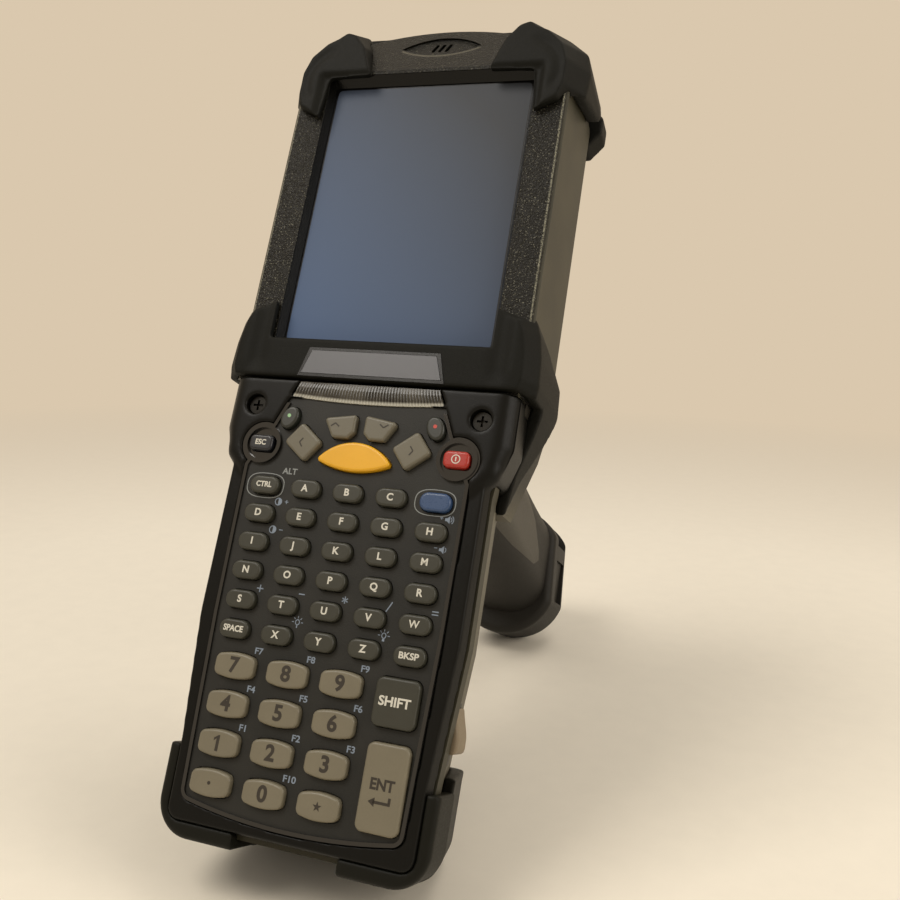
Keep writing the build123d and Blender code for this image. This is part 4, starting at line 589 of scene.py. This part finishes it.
world_light()
soft_lamp("key_lamp", (-0.4, -0.5, 0.95), 0.5, 5.6, (1.0, 0.97, 0.92))
soft_lamp("right_lamp", (0.9, -0.15, 0.5), 0.6, 3.4, (1.0, 0.96, 0.9))
soft_lamp("top_lamp", (0.3, 0.25, 1.1), 0.5, 2.2, (1.0, 0.97, 0.93))


# ---------------------------------------------------------------- outlines
def turned(points, centre, angle=0.0):
    """Points turned about the origin, in degrees, and moved to a centre."""
    c, s = math.cos(math.radians(angle)), math.sin(math.radians(angle))
    return [(centre[0] + x * c - y * s, centre[1] + x * s + y * c) for x, y in points]


def bar(start, end, wide):
    """The outline of a straight stroke."""
    along = Vector(end) - Vector(start)
    across = Vector((-along.y, along.x)).normalized() * wide / 2
    a, b = Vector(start), Vector(end)
    return [tuple(corner) for corner in (a - across, b - across, b + across, a + across)]


def arc_points(radius, start, end, steps):
    """Points along an arc about the origin, between two angles in degrees."""
    angles = [math.radians(start + (end - start) * i / steps) for i in range(steps + 1)]
    return [(radius * math.cos(angle), radius * math.sin(angle)) for angle in angles]


def ring_points(half_x, half_y, steps=40, power=2.0):
    """A rounded closed outline: an ellipse at power 2, squarer above it."""
    points = []
    for i in range(steps):
        angle = 2 * math.pi * i / steps
        c, s = math.cos(angle), math.sin(angle)
        x = half_x * math.copysign(abs(c) ** (2 / power), c)
        y = half_y * math.copysign(abs(s) ** (2 / power), s)
        points.append((x, y))
    return points


def rounded_rectangle(half_x, half_y, corner, steps=6):
    """The outline of a rectangle with rounded corners."""
    points = []
    for quarter, (sx, sy) in enumerate(((1, 1), (-1, 1), (-1, -1), (1, -1))):
        middle = (sx * (half_x - corner), sy * (half_y - corner))
        points += turned(arc_points(corner, 90 * quarter, 90 * quarter + 90, steps), middle)
    return points


# ---------------------------------------------------------------- making pieces
SHARP = math.radians(38)
INK = 0.04                      # how far printed ink stands out of its surface
INK_SUNK = 0.02                 # and how far it reaches in
CAP_HEIGHT = 0.73               # height of a capital in the built-in font, as a share of its size


def add_piece(name, bm, material, body="terminal", sharp=SHARP):
    """A finished piece from a mesh drawn in the body frame, riding on a CAD body."""
    bmesh.ops.recalc_face_normals(bm, faces=bm.faces)
    for face in bm.faces:
        face.smooth = True
    for edge in bm.edges:
        edge.smooth = len(edge.link_faces) == 2 and edge.calc_face_angle(0.0) < sharp
    bm.transform(STAND)
    mesh = bpy.data.meshes.new(name)
    bm.to_mesh(mesh)
    bm.free()
    mesh.materials.append(material)
    made = bpy.data.objects.new(name, mesh)
    scene.collection.objects.link(made)
    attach(made, body)
    return made


def add_prism(bm, points, low, high):
    """A flat shape, given as (x, v) points, between two heights."""
    count = len(points)
    bottom = [bm.verts.new((x, v, low)) for x, v in points]
    top = [bm.verts.new((x, v, high)) for x, v in points]
    bm.faces.new(bottom[::-1])
    bm.faces.new(top)
    for i in range(count):
        j = (i + 1) % count
        bm.faces.new((bottom[i], bottom[j], top[j], top[i]))


def add_band(bm, outer, inner, low, high):
    """The flat band between two outlines with as many points."""
    count = len(outer)
    corners = [(outer, low), (outer, high), (inner, high), (inner, low)]
    loops = [[bm.verts.new((x, v, height)) for x, v in points] for points, height in corners]
    for first, second in zip(loops, loops[1:] + loops[:1]):
        for i in range(count):
            j = (i + 1) % count
            bm.faces.new((first[i], first[j], second[j], second[i]))


def ink_shape(bm, points, centre, surface, angle=0.0):
    """A printed shape, drawn about the origin, turned and set on a surface."""
    add_prism(bm, turned(points, centre, angle), surface - INK_SUNK, surface + INK)


def ink_ring(bm, outer, inner, centre, surface):
    """A printed line between two outlines drawn about the origin."""
    add_band(bm, turned(outer, centre), turned(inner, centre), surface - INK_SUNK, surface + INK)


def ink_word(bm, text, centre, height, surface, bold=0.02, stretch=1.0):
    """A printed word with capitals of this height, centred on (x, v)."""
    curve = bpy.data.curves.new("word", "FONT")
    curve.body = text
    curve.size = height / CAP_HEIGHT
    curve.align_x = "CENTER"
    curve.align_y = "CENTER"
    curve.extrude = (INK + INK_SUNK) / 2
    curve.offset = bold * height
    curve.resolution_u = 4
    word = bpy.data.objects.new("word", curve)
    mesh = bpy.data.meshes.new_from_object(word)
    place = Matrix.Translation((*centre, surface + (INK - INK_SUNK) / 2))
    mesh.transform(place @ Matrix.Diagonal((stretch, 1, 1, 1)))
    bm.from_mesh(mesh)
    bpy.data.meshes.remove(mesh)
    bpy.data.objects.remove(word)
    bpy.data.curves.remove(curve)


# ---------------------------------------------------------------- rounded mouldings
HIDDEN_GAP = 0.3                # how far a hidden surface draws back
LOOKS_OUT = 0.4                 # a surface that looks out of the face at least as much as this,
FRONT_AT = 2.0                  # and lies this high, is part of the front


def smooth_step(value, low, high):
    """0 below one limit, 1 above the other, eased between them."""
    share = min(1.0, max(0.0, (value - low) / (high - low)))
    return share * share * (3 - 2 * share)


def ridge(value, middle, wide):
    """1 in the middle, falling away to both sides."""
    return math.exp(-(((value - middle) / wide) ** 2))


def even_mesh(name, nodes, voxel):
    """The form of CAD nodes in the body frame, with even small faces."""
    bm = bmesh.new()
    for node in nodes:
        bm.from_mesh(frame["nodes"][node].data)
    bm.transform(BODY_FRAME)
    bmesh.ops.remove_doubles(bm, verts=bm.verts, dist=0.01)
    raw = bpy.data.meshes.new(name + "_raw")
    bm.to_mesh(raw)
    bm.free()
    holder = bpy.data.objects.new(name + "_raw", raw)
    scene.collection.objects.link(holder)
    remesh = holder.modifiers.new("even", "REMESH")
    remesh.mode = "VOXEL"
    remesh.voxel_size = voxel
    evaluated = holder.evaluated_get(bpy.context.evaluated_depsgraph_get())
    even = bpy.data.meshes.new_from_object(evaluated)
    bpy.data.objects.remove(holder)
    bpy.data.meshes.remove(raw)
    bm = bmesh.new()
    bm.from_mesh(even)
    bpy.data.meshes.remove(even)
    return bm


def soften(
    name, nodes, material, voxel=0.45, rounds=5, relief=None, hidden=None, draw_in=None,
    body="terminal",
):
    """Stands for hard-edged CAD nodes with the same form, its edges rounded as a mould rounds them.

    relief(x, v, w, out) gives how far a point moves out of the face, in millimetres; out is how
    much the surface there looks out of the face. draw_in(x, v) gives how far a point moves towards
    the middle plane. Where hidden(x, v, w) holds, the surface isn't rounded but draws back a
    little, clear of what moves there."""
    bm = even_mesh(name, nodes, voxel)
    if relief:
        bm.normal_update()
        moves = [relief(*vert.co, vert.normal.z) for vert in bm.verts]
        for vert, move in zip(bm.verts, moves):
            vert.co.z += move
    if draw_in:
        for vert in bm.verts:
            vert.co.x -= math.copysign(draw_in(*vert.co.xy), vert.co.x)
    if hidden:
        bm.normal_update()
        apart = {vert for vert in bm.verts if hidden(*vert.co)}
        for vert in apart:
            vert.co -= vert.normal * HIDDEN_GAP
    else:
        apart = set()
    eased = [vert for vert in bm.verts if vert not in apart]
    for _ in range(rounds):
        bmesh.ops.smooth_vert(
            bm, verts=eased, factor=0.5, use_axis_x=True, use_axis_y=True, use_axis_z=True
        )
    made = add_piece(name, bm, material, body, sharp=math.pi)
    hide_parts(*nodes)
    return made


# the top corners: a ledge along the display, below the bumper's pad, and a hollow beside the pad
LEDGE_DROP = 1.3
LEDGE_CORNER = (32.7, 205.9)    # where the edges of the ledge's two arms meet
LEDGE_RUN = 0.9                 # half the width of the slope from the ledge to the pad
HOLLOW_AT = (27.0, 204.0)       # the middle of the arc that the hollow follows
HOLLOW_RADIUS = 10.2
HOLLOW_WIDE = 1.3
HOLLOW_DEEP = 0.55
HOLLOW_FROM = ((27.5, 33.0), (197.0, 201.0))    # where it sets in, in x and in v


def corner_relief(x, v, w, out):
    """How far a point of a top corner moves out."""
    if out < LOOKS_OUT or w < FRONT_AT:
        return 0.0
    x = abs(x)
    pad = smooth_step(max(x - LEDGE_CORNER[0], v - LEDGE_CORNER[1]), -LEDGE_RUN, LEDGE_RUN)
    reach = math.hypot(x - HOLLOW_AT[0], v - HOLLOW_AT[1])
    hollow = ridge(reach, HOLLOW_RADIUS, HOLLOW_WIDE)
    hollow *= smooth_step(x, *HOLLOW_FROM[0]) * smooth_step(v, *HOLLOW_FROM[1])
    return -LEDGE_DROP * (1 - pad) - HOLLOW_DEEP * hollow


# the collar: a dip beside the nameplate and a fold towards each side
COLLAR_FROM = (114.0, 119.0)
FOLD_AT = 36.8
FOLD_WIDE = 1.6
FOLD_HIGH = 0.35
DIP_AT = 33.0
DIP_WIDE = 2.2
DIP_DEEP = 0.5


def collar_relief(x, v, w, out):
    """How far a point of the collar moves out."""
    if out < LOOKS_OUT or w < FRONT_AT:
        return 0.0
    x = abs(x)
    fold = FOLD_HIGH * ridge(x, FOLD_AT, FOLD_WIDE)
    dip = DIP_DEEP * ridge(x, DIP_AT, DIP_WIDE)
    return (fold - dip) * smooth_step(v, *COLLAR_FROM)


# the bezel: its ears fall away in a curve towards the sides
EAR_FROM = (92.0, 96.0)
EAR_SIDE = (33.0, 40.0)
EAR_DROP = 1.5
DOT_POCKET = (25.5, 90.0, 2.7)  # the pockets lie within this x, beyond this v and below this w


def ear_relief(x, v, w, out):
    """How far a point of the bezel moves out."""
    if v < EAR_FROM[0] or w < FRONT_AT:
        return 0.0
    fall = smooth_step(abs(x), *EAR_SIDE) * smooth_step(v, *EAR_FROM)
    return -EAR_DROP * fall * fall


def under_dot_keys(x, v, w):
    """The pockets in the bezel's ledge that the flanges of the dot keys go down into."""
    return abs(x) < DOT_POCKET[0] and v > DOT_POCKET[1] and w < DOT_POCKET[2]


# the release buttons: they bow outwards, and fall back most towards the display
CAP_FROM = 32.6                 # the outside of the side wall
CAP_REACH = 2.3
CAP_FALL_HIGH = (1.7, 31.0, 39.5)   # how far, from where, and where it ends
CAP_FALL_LOW = (0.7, 29.5, 27.0)
STEM_TO = 31.5                  # where the stem ends, inside the wall


def button_bow(x, v):
    """How far a point of a release button moves in."""
    share = max(0.0, abs(x) - CAP_FROM) / CAP_REACH
    return share * sum(
        fall * smooth_step(v, start, end) for fall, start, end in (CAP_FALL_HIGH, CAP_FALL_LOW)
    )


def in_slot(x, v, w):
    """The stem and the inner flange of a release button."""
    return abs(x) < STEM_TO


for side in ("left", "right"):
    soften(f"top_{side}_corner_rubber", [f"top_{side}_bumper"], RUBBER, relief=corner_relief)
soften("nose_rubber", ["nose_bumper"], RUBBER)
soften("collar_rubber", ["collar_bumper"], RUBBER, relief=collar_relief, rounds=4)
for side in ("left", "right"):
    soften(
        f"bottom_{side}_corner_rubber", [f"bottom_{side}_bumper"], END_RUBBER, voxel=0.4, rounds=4
    )
soften("rear_boot_rubber", ["rear_boot"], END_RUBBER, rounds=4)
soften(
    "bezel_shell", ["keypad_bezel"], BEZEL, voxel=0.4, rounds=4, relief=ear_relief,
    hidden=under_dot_keys,
)
for side in ("left", "right"):
    soften(
        f"{side}_release_cap", [f"{side}_release_button"], BUTTON, voxel=0.3, hidden=in_slot,
        draw_in=button_bow, body=f"{side}_release",
    )

# ---------------------------------------------------------------- display
WINDOW_SIZE = (59.0, 79.0)
WINDOW_AT = (0.0, 165.0)
SCREEN_MARGIN = 0.5
SCREEN_BACK = -0.1
SCREEN_TOP = 0.05

bm = bmesh.new()
half = [length / 2 - SCREEN_MARGIN for length in WINDOW_SIZE]
outline = turned(ring_points(*half, steps=96, power=60.0), WINDOW_AT)
add_prism(bm, outline, SCREEN_BACK, SCREEN_TOP)
add_piece("screen_area", bm, SCREEN)

# ---------------------------------------------------------------- back of the terminal
HEAD_BACK = -48.0
BATTERY_BACK = -38.0
BACK_SUNK = 0.3                 # how far pieces on the back reach into their surface
PANEL_AT = (0.0, 176.0)
PANEL_HALF = (20.0, 13.0)
LABEL_OUT = 0.18
SURROUND_OUT = 0.4


def panel_outline(grow, corner):
    """The bare label's outline, grown all round."""
    return turned(rounded_rectangle(PANEL_HALF[0] + grow, PANEL_HALF[1] + grow, corner), PANEL_AT)


bm = bmesh.new()
add_prism(bm, panel_outline(0.0, 2.0), HEAD_BACK - LABEL_OUT, HEAD_BACK + BACK_SUNK)
add_piece("bare_label", bm, LABEL)
bm = bmesh.new()
add_band(
    bm, panel_outline(1.5, 3.3), panel_outline(0.6, 2.5),
    HEAD_BACK - SURROUND_OUT, HEAD_BACK + BACK_SUNK,
)
add_piece("label_surround", bm, REAR)

# ribs for the fingers that pull the battery, below its latch
GRIP_RIBS = 6
GRIP_FIRST = 60.0
GRIP_PITCH = 2.4
GRIP_RIB = (11.0, 0.55, 0.5)    # half its length and width, and its corners
GRIP_OUT = 0.45

bm = bmesh.new()
for row in range(GRIP_RIBS):
    rib = turned(rounded_rectangle(*GRIP_RIB), (0.0, GRIP_FIRST - GRIP_PITCH * row))
    add_prism(bm, rib, BATTERY_BACK - GRIP_OUT, BATTERY_BACK + BACK_SUNK)
add_piece("battery_ribs", bm, BATTERY, "battery")

# ---------------------------------------------------------------- dark frame round the nameplate, with the painted shade of the gap round it
NAME_LOW = 115.3
NAME_HIGH = 121.5
NAME_HALF = (19.3, 17.2)        # at its lower and upper edge
NAME_BED = 5.5                  # the height of the collar round it
NAME_FRAME = (0.85, 0.1)        # the frame's outer and inner edge, from the nameplate's
NAME_SLANT = 1.1                # how much further the slanting ends grow
NAME_RISE = (-0.4, 0.2)         # the frame's back and top, from the collar


def name_outline(grow):
    """The nameplate's outline, grown all round."""
    low, high = NAME_LOW - grow, NAME_HIGH + grow
    low_half, high_half = (half + NAME_SLANT * grow for half in NAME_HALF)
    return [(-low_half, low), (low_half, low), (high_half, high), (-high_half, high)]


# a black frame, which also paints the shade in the gap between the nameplate and the collar
bm = bmesh.new()
outer, inner = (name_outline(grow) for grow in NAME_FRAME)
add_band(bm, outer, inner, *[NAME_BED + rise for rise in NAME_RISE])
add_piece("nameplate_frame_and_gap_shade", bm, FRAME_AND_GAP_SHADE)

# ---------------------------------------------------------------- light bar
BAR_TOP = 4.6
BAR_BACK = 2.7
RIB_LIFT = 0.28
RIB_CREST = [0.0, 0.7, 1.0, 0.7]    # one rib's section, as shares of its lift
RIB_DROP = (0.35, 0.1)          # how far the ribs lie below the top at their lower and upper end
RIB_END = (0.62, 0.7)           # where they end, and where the flat top begins


def bar_point(across, up):
    """A point of the bar's outline: across from -1 to 1, up from 0 to 1."""
    half = BAR_HALF[0] + (BAR_HALF[1] - BAR_HALF[0]) * up
    sag = BAR_BOW * (1 - across * across) * (1 - up)
    return across * half, BAR_LOW + (BAR_HIGH - BAR_LOW) * up - sag


bm = bmesh.new()
steps = BAR_RIBS * len(RIB_CREST)
sections = []
for i in range(steps + 1):
    across = 2 * i / steps - 1
    lift = RIB_LIFT * RIB_CREST[i % len(RIB_CREST)]
    profile = [
        (0.0, BAR_BACK),
        (0.0, BAR_TOP - RIB_DROP[0] + lift),
        (RIB_END[0], BAR_TOP - RIB_DROP[1] + lift),
        (RIB_END[1], BAR_TOP),
        (1.0, BAR_TOP),
        (1.0, BAR_BACK),
    ]
    sections.append([bm.verts.new((*bar_point(across, up), height)) for up, height in profile])
for first, second in zip(sections, sections[1:]):
    for i in range(len(first)):
        j = (i + 1) % len(first)
        bm.faces.new((first[i], second[i], second[j], first[j]))
bm.faces.new(sections[0])
bm.faces.new(sections[-1][::-1])
ribbed_bar = add_piece("ribbed_light_bar", bm, CLEAR, sharp=math.radians(60))
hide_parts("light_bar")

# ---------------------------------------------------------------- key legends
KEY_TOP = 5.7
LETTER_PITCH = (11.55, 7.31)
LETTER_FIRST = 84.8
LETTER_HEIGHT = 1.8
WIDE_LETTERS = "MW"             # their strokes would run together if they were as bold
WORD_SIZES = {"CTRL": (1.4, 0.95), "SPACE": (1.5, 0.93), "BKSP": (1.55, 1.08)}  # height, stretch
DIGIT_PITCH = (14.13, 9.1)
DIGIT_FIRST = 39.6
DIGIT_CENTRE = -6.7
DIGIT_HEIGHT = 3.7
SHIFT_AT = (21.6, 37.6)
ENTER_AT = (22.0, 19.6)
ARROW_AT = (22.0, 15.9)
DOT_AT = (20.0, 103.4)


def letter_place(row, column):
    """The middle of a key of the letter block, in x and v."""
    return (column - 2) * LETTER_PITCH[0], LETTER_FIRST - row * LETTER_PITCH[1]


def digit_place(row, column):
    """The middle of a number key, in x and v."""
    return DIGIT_CENTRE + (column - 1) * DIGIT_PITCH[0], DIGIT_FIRST - row * DIGIT_PITCH[1]


letter_legends = [
    ["CTRL", "A", "B", "C"],
    ["D", "E", "F", "G", "H"],
    ["I", "J", "K", "L", "M"],
    ["N", "O", "P", "Q", "R"],
    ["S", "T", "U", "V", "W"],
    ["SPACE", "X", "Y", "Z", "BKSP"],
]
for row, words in enumerate(letter_legends):
    bm = bmesh.new()
    for column, word in enumerate(words):
        height, stretch = WORD_SIZES.get(word, (LETTER_HEIGHT, 1.0))
        bold = 0.022 if word in WIDE_LETTERS else 0.042
        ink_word(bm, word, letter_place(row, column), height, KEY_TOP, bold, stretch)
    add_piece(f"letter_legends_{row + 1}", bm, PALE_INK, LETTER_ROWS[row])

# a digit 1 of height 1, the point and the star, which the font doesn't draw as the keys show them
ONE = [
    (-0.35, -0.5), (-0.35, 0.28), (-0.75, 0.12), (-0.75, 0.3), (-0.1, 0.5), (0.08, 0.5),
    (0.08, -0.5),
]
STAR_REACH = (1.15, 0.46)       # to its tips and to the corners between them
star = []
for i in range(10):
    reach, angle = STAR_REACH[i % 2], math.radians(90 + 36 * i)
    star.append((reach * math.cos(angle), reach * math.sin(angle)))
digit_shapes = {
    "1": [(0.25 + 0.48 * x * DIGIT_HEIGHT, v * DIGIT_HEIGHT) for x, v in ONE],
    ".": ring_points(0.42, 0.42, 20),
    "*": star,
}
for row, digits in enumerate(["789", "456", "123", ".0*"]):
    bm = bmesh.new()
    for column, digit in enumerate(digits):
        if digit in digit_shapes:
            ink_shape(bm, digit_shapes[digit], digit_place(row, column), KEY_TOP)
        else:
            ink_word(bm, digit, digit_place(row, column), DIGIT_HEIGHT, KEY_TOP, bold=0.045)
    add_piece(f"number_legends_{row + 1}", bm, DARK_INK, NUMBER_ROWS[row])

bm = bmesh.new()
ink_word(bm, "SHIFT", SHIFT_AT, 2.15, KEY_TOP, bold=0.04, stretch=1.06)
add_piece("shift_legend", bm, PALE_INK, "shift_key")

bm = bmesh.new()
ink_word(bm, "ENT", ENTER_AT, 2.45, KEY_TOP, bold=0.05, stretch=0.94)
for part in (
    bar((-1.6, 0), (2.6, 0), 0.62),
    bar((2.3, 0.25), (2.3, 1.4), 0.62),
    [(-2.75, 0), (-1.2, -1.0), (-1.2, 1.0)],
):
    ink_shape(bm, part, ARROW_AT, KEY_TOP)
add_piece("enter_legend", bm, DARK_INK, "enter_key")

bm = bmesh.new()
ink_word(bm, "ESC", (-WELL_AT[0], WELL_AT[1]), 1.45, KEY_TOP, bold=0.035, stretch=0.95)
add_piece("escape_legend", bm, PALE_INK, "escape_key")

bm = bmesh.new()
ink_ring(bm, ring_points(1.15, 1.15, 32), ring_points(0.9, 0.9, 32), WELL_AT, KEY_TOP)
ink_shape(bm, bar((0, -0.55), (0, 0.55), 0.3), WELL_AT, KEY_TOP)
add_piece("power_symbol", bm, PALE_INK, "power_key")

# chevrons on the arrow keys, each turned the way it points
CHEVRON = 1.15
chevrons = {
    "up_arrow_key": ((-6.6, 102.2), 90),
    "down_arrow_key": ((6.6, 102.2), -90),
    "left_arrow_key": ((-15.4, 96.6), 180),
    "right_arrow_key": ((15.2, 96.8), 0),
}
for key, (centre, angle) in chevrons.items():
    bm = bmesh.new()
    for side in (-1, 1):
        stroke = bar((-CHEVRON * 0.6, side * CHEVRON), (0.15, 0), 0.34)
        ink_shape(bm, stroke, centre, KEY_TOP, angle)
    add_piece(f"{key.split('_')[0]}_chevron", bm, DARK_INK, key)

for side, key, material in ((-1, "left_dot_key", GREEN_DOT), (1, "right_dot_key", RED_DOT)):
    bm = bmesh.new()
    ink_shape(bm, ring_points(0.5, 0.5, 24), (side * DOT_AT[0], DOT_AT[1]), KEY_TOP)
    add_piece(f"{key}_mark", bm, material, key)

# ---------------------------------------------------------------- print on the keypad plate
FUNCTION_SHIFT = (5.05, 4.2)    # from a number key's middle to its function label
FUNCTION_HEIGHT = 1.55
LONG_SHIFT = 0.3                # how much further right a label of three characters stands
SIGN_SHIFT = (4.15, 3.3)        # from a letter key's middle to the sign printed beside it
SIGN_ROW = 4
plate_print = bmesh.new()

function_labels = [["F7", "F8", "F9"], ["F4", "F5", "F6"], ["F1", "F2", "F3"], ["", "F10", ""]]
for row, labels in enumerate(function_labels):
    for column, label in enumerate(labels):
        if label:
            x, v = digit_place(row, column)
            x += FUNCTION_SHIFT[0] + LONG_SHIFT * (len(label) - 2)
            place = (x, v + FUNCTION_SHIFT[1])
            ink_word(plate_print, label, place, FUNCTION_HEIGHT, PLATE_TOP, 0.03, 1.1)


def sign_strokes(sign, half, wide):
    """A minus, or a plus whose level stroke parts its upright one."""
    strokes = [bar((-half, 0), (half, 0), wide)]
    if sign == "+":
        strokes += [bar((0, end), (0, math.copysign(wide / 2, end)), wide) for end in (-half, half)]
    return strokes


signs = {
    "+": sign_strokes("+", 0.9, 0.28),
    "-": sign_strokes("-", 0.8, 0.28),
    "*": [turned(bar((0, 0), (0.85, 0), 0.26), (0, 0.1), 90 + 60 * i) for i in range(6)],
    "/": [bar((-0.65, -1.2), (0.65, 1.2), 0.28)],
    "=": [bar((-0.8, level), (0.8, level), 0.26) for level in (0.35, -0.35)],
}
for column, strokes in enumerate(signs.values()):
    x, v = letter_place(SIGN_ROW, column)
    for stroke in strokes:
        ink_shape(plate_print, stroke, (x + SIGN_SHIFT[0], v + SIGN_SHIFT[1]), PLATE_TOP)


def bulb(centre, lit):
    """A small lamp symbol with rays, for the light keys."""
    outer, inner = ring_points(0.62, 0.72, 24), ring_points(0.42, 0.52, 24)
    ink_ring(plate_print, outer, inner, centre, PLATE_TOP)
    foot = bar((0, -1.35), (0, -0.75), 0.55 if lit else 0.3)
    ink_shape(plate_print, foot, centre, PLATE_TOP)
    for angle in (0, 45, 90, 135, 180):
        ink_shape(plate_print, bar((0.95, 0), (1.5, 0), 0.18), centre, PLATE_TOP, angle)


def brightness(centre, sign):
    """A half-filled circle with a sign beside it."""
    outer, inner = ring_points(1.0, 1.0, 32), ring_points(0.78, 0.78, 32)
    ink_ring(plate_print, outer, inner, centre, PLATE_TOP)
    ink_shape(plate_print, arc_points(0.78, -90, 90, 12), centre, PLATE_TOP)
    for stroke in sign_strokes(sign, 0.5, 0.2):
        ink_shape(plate_print, stroke, (centre[0] + 2.3, centre[1] + 0.1), PLATE_TOP)


def volume(centre, sign):
    """A loudspeaker with one wave, or two for louder, and a sign before it."""
    speaker = [
        (-1.0, -0.35), (-0.5, -0.35), (0.2, -0.95), (0.2, 0.95), (-0.5, 0.35), (-1.0, 0.35)
    ]
    ink_shape(plate_print, speaker, centre, PLATE_TOP)
    for reach in (0.7, 1.15) if sign == "+" else (0.7,):
        outer, inner = (arc_points(reach + step, -50, 50, 10) for step in (0.1, -0.08))
        ink_shape(plate_print, outer + inner[::-1], centre, PLATE_TOP)
    for stroke in sign_strokes(sign, 0.4, 0.18):
        ink_shape(plate_print, stroke, (centre[0] - 1.9, centre[1] + 0.3), PLATE_TOP)


bulb((-7.1, 52.1), False)
bulb((15.6, 52.1), True)
brightness((-18.9, 81.0), "+")
brightness((-18.9, 73.8), "-")
volume((26.9, 81.1), "+")
volume((26.6, 73.8), "-")
add_piece("plate_print", plate_print, BLUE_INK)

# pale lines round the CTRL and blue keys, and the word above them
key_lines = bmesh.new()
outer, inner = ring_points(5.3, 3.3, 64, 2.8), ring_points(5.08, 3.08, 64, 2.8)
for column in (0, 4):
    x, v = letter_place(0, column)
    ink_ring(key_lines, outer, inner, (x - 0.4, v + 0.05), PLATE_TOP)
ink_word(key_lines, "ALT", (-17.4, 89.0), 1.6, PLATE_TOP, bold=0.03, stretch=1.05)
add_piece("key_lines", key_lines, ALT_INK)
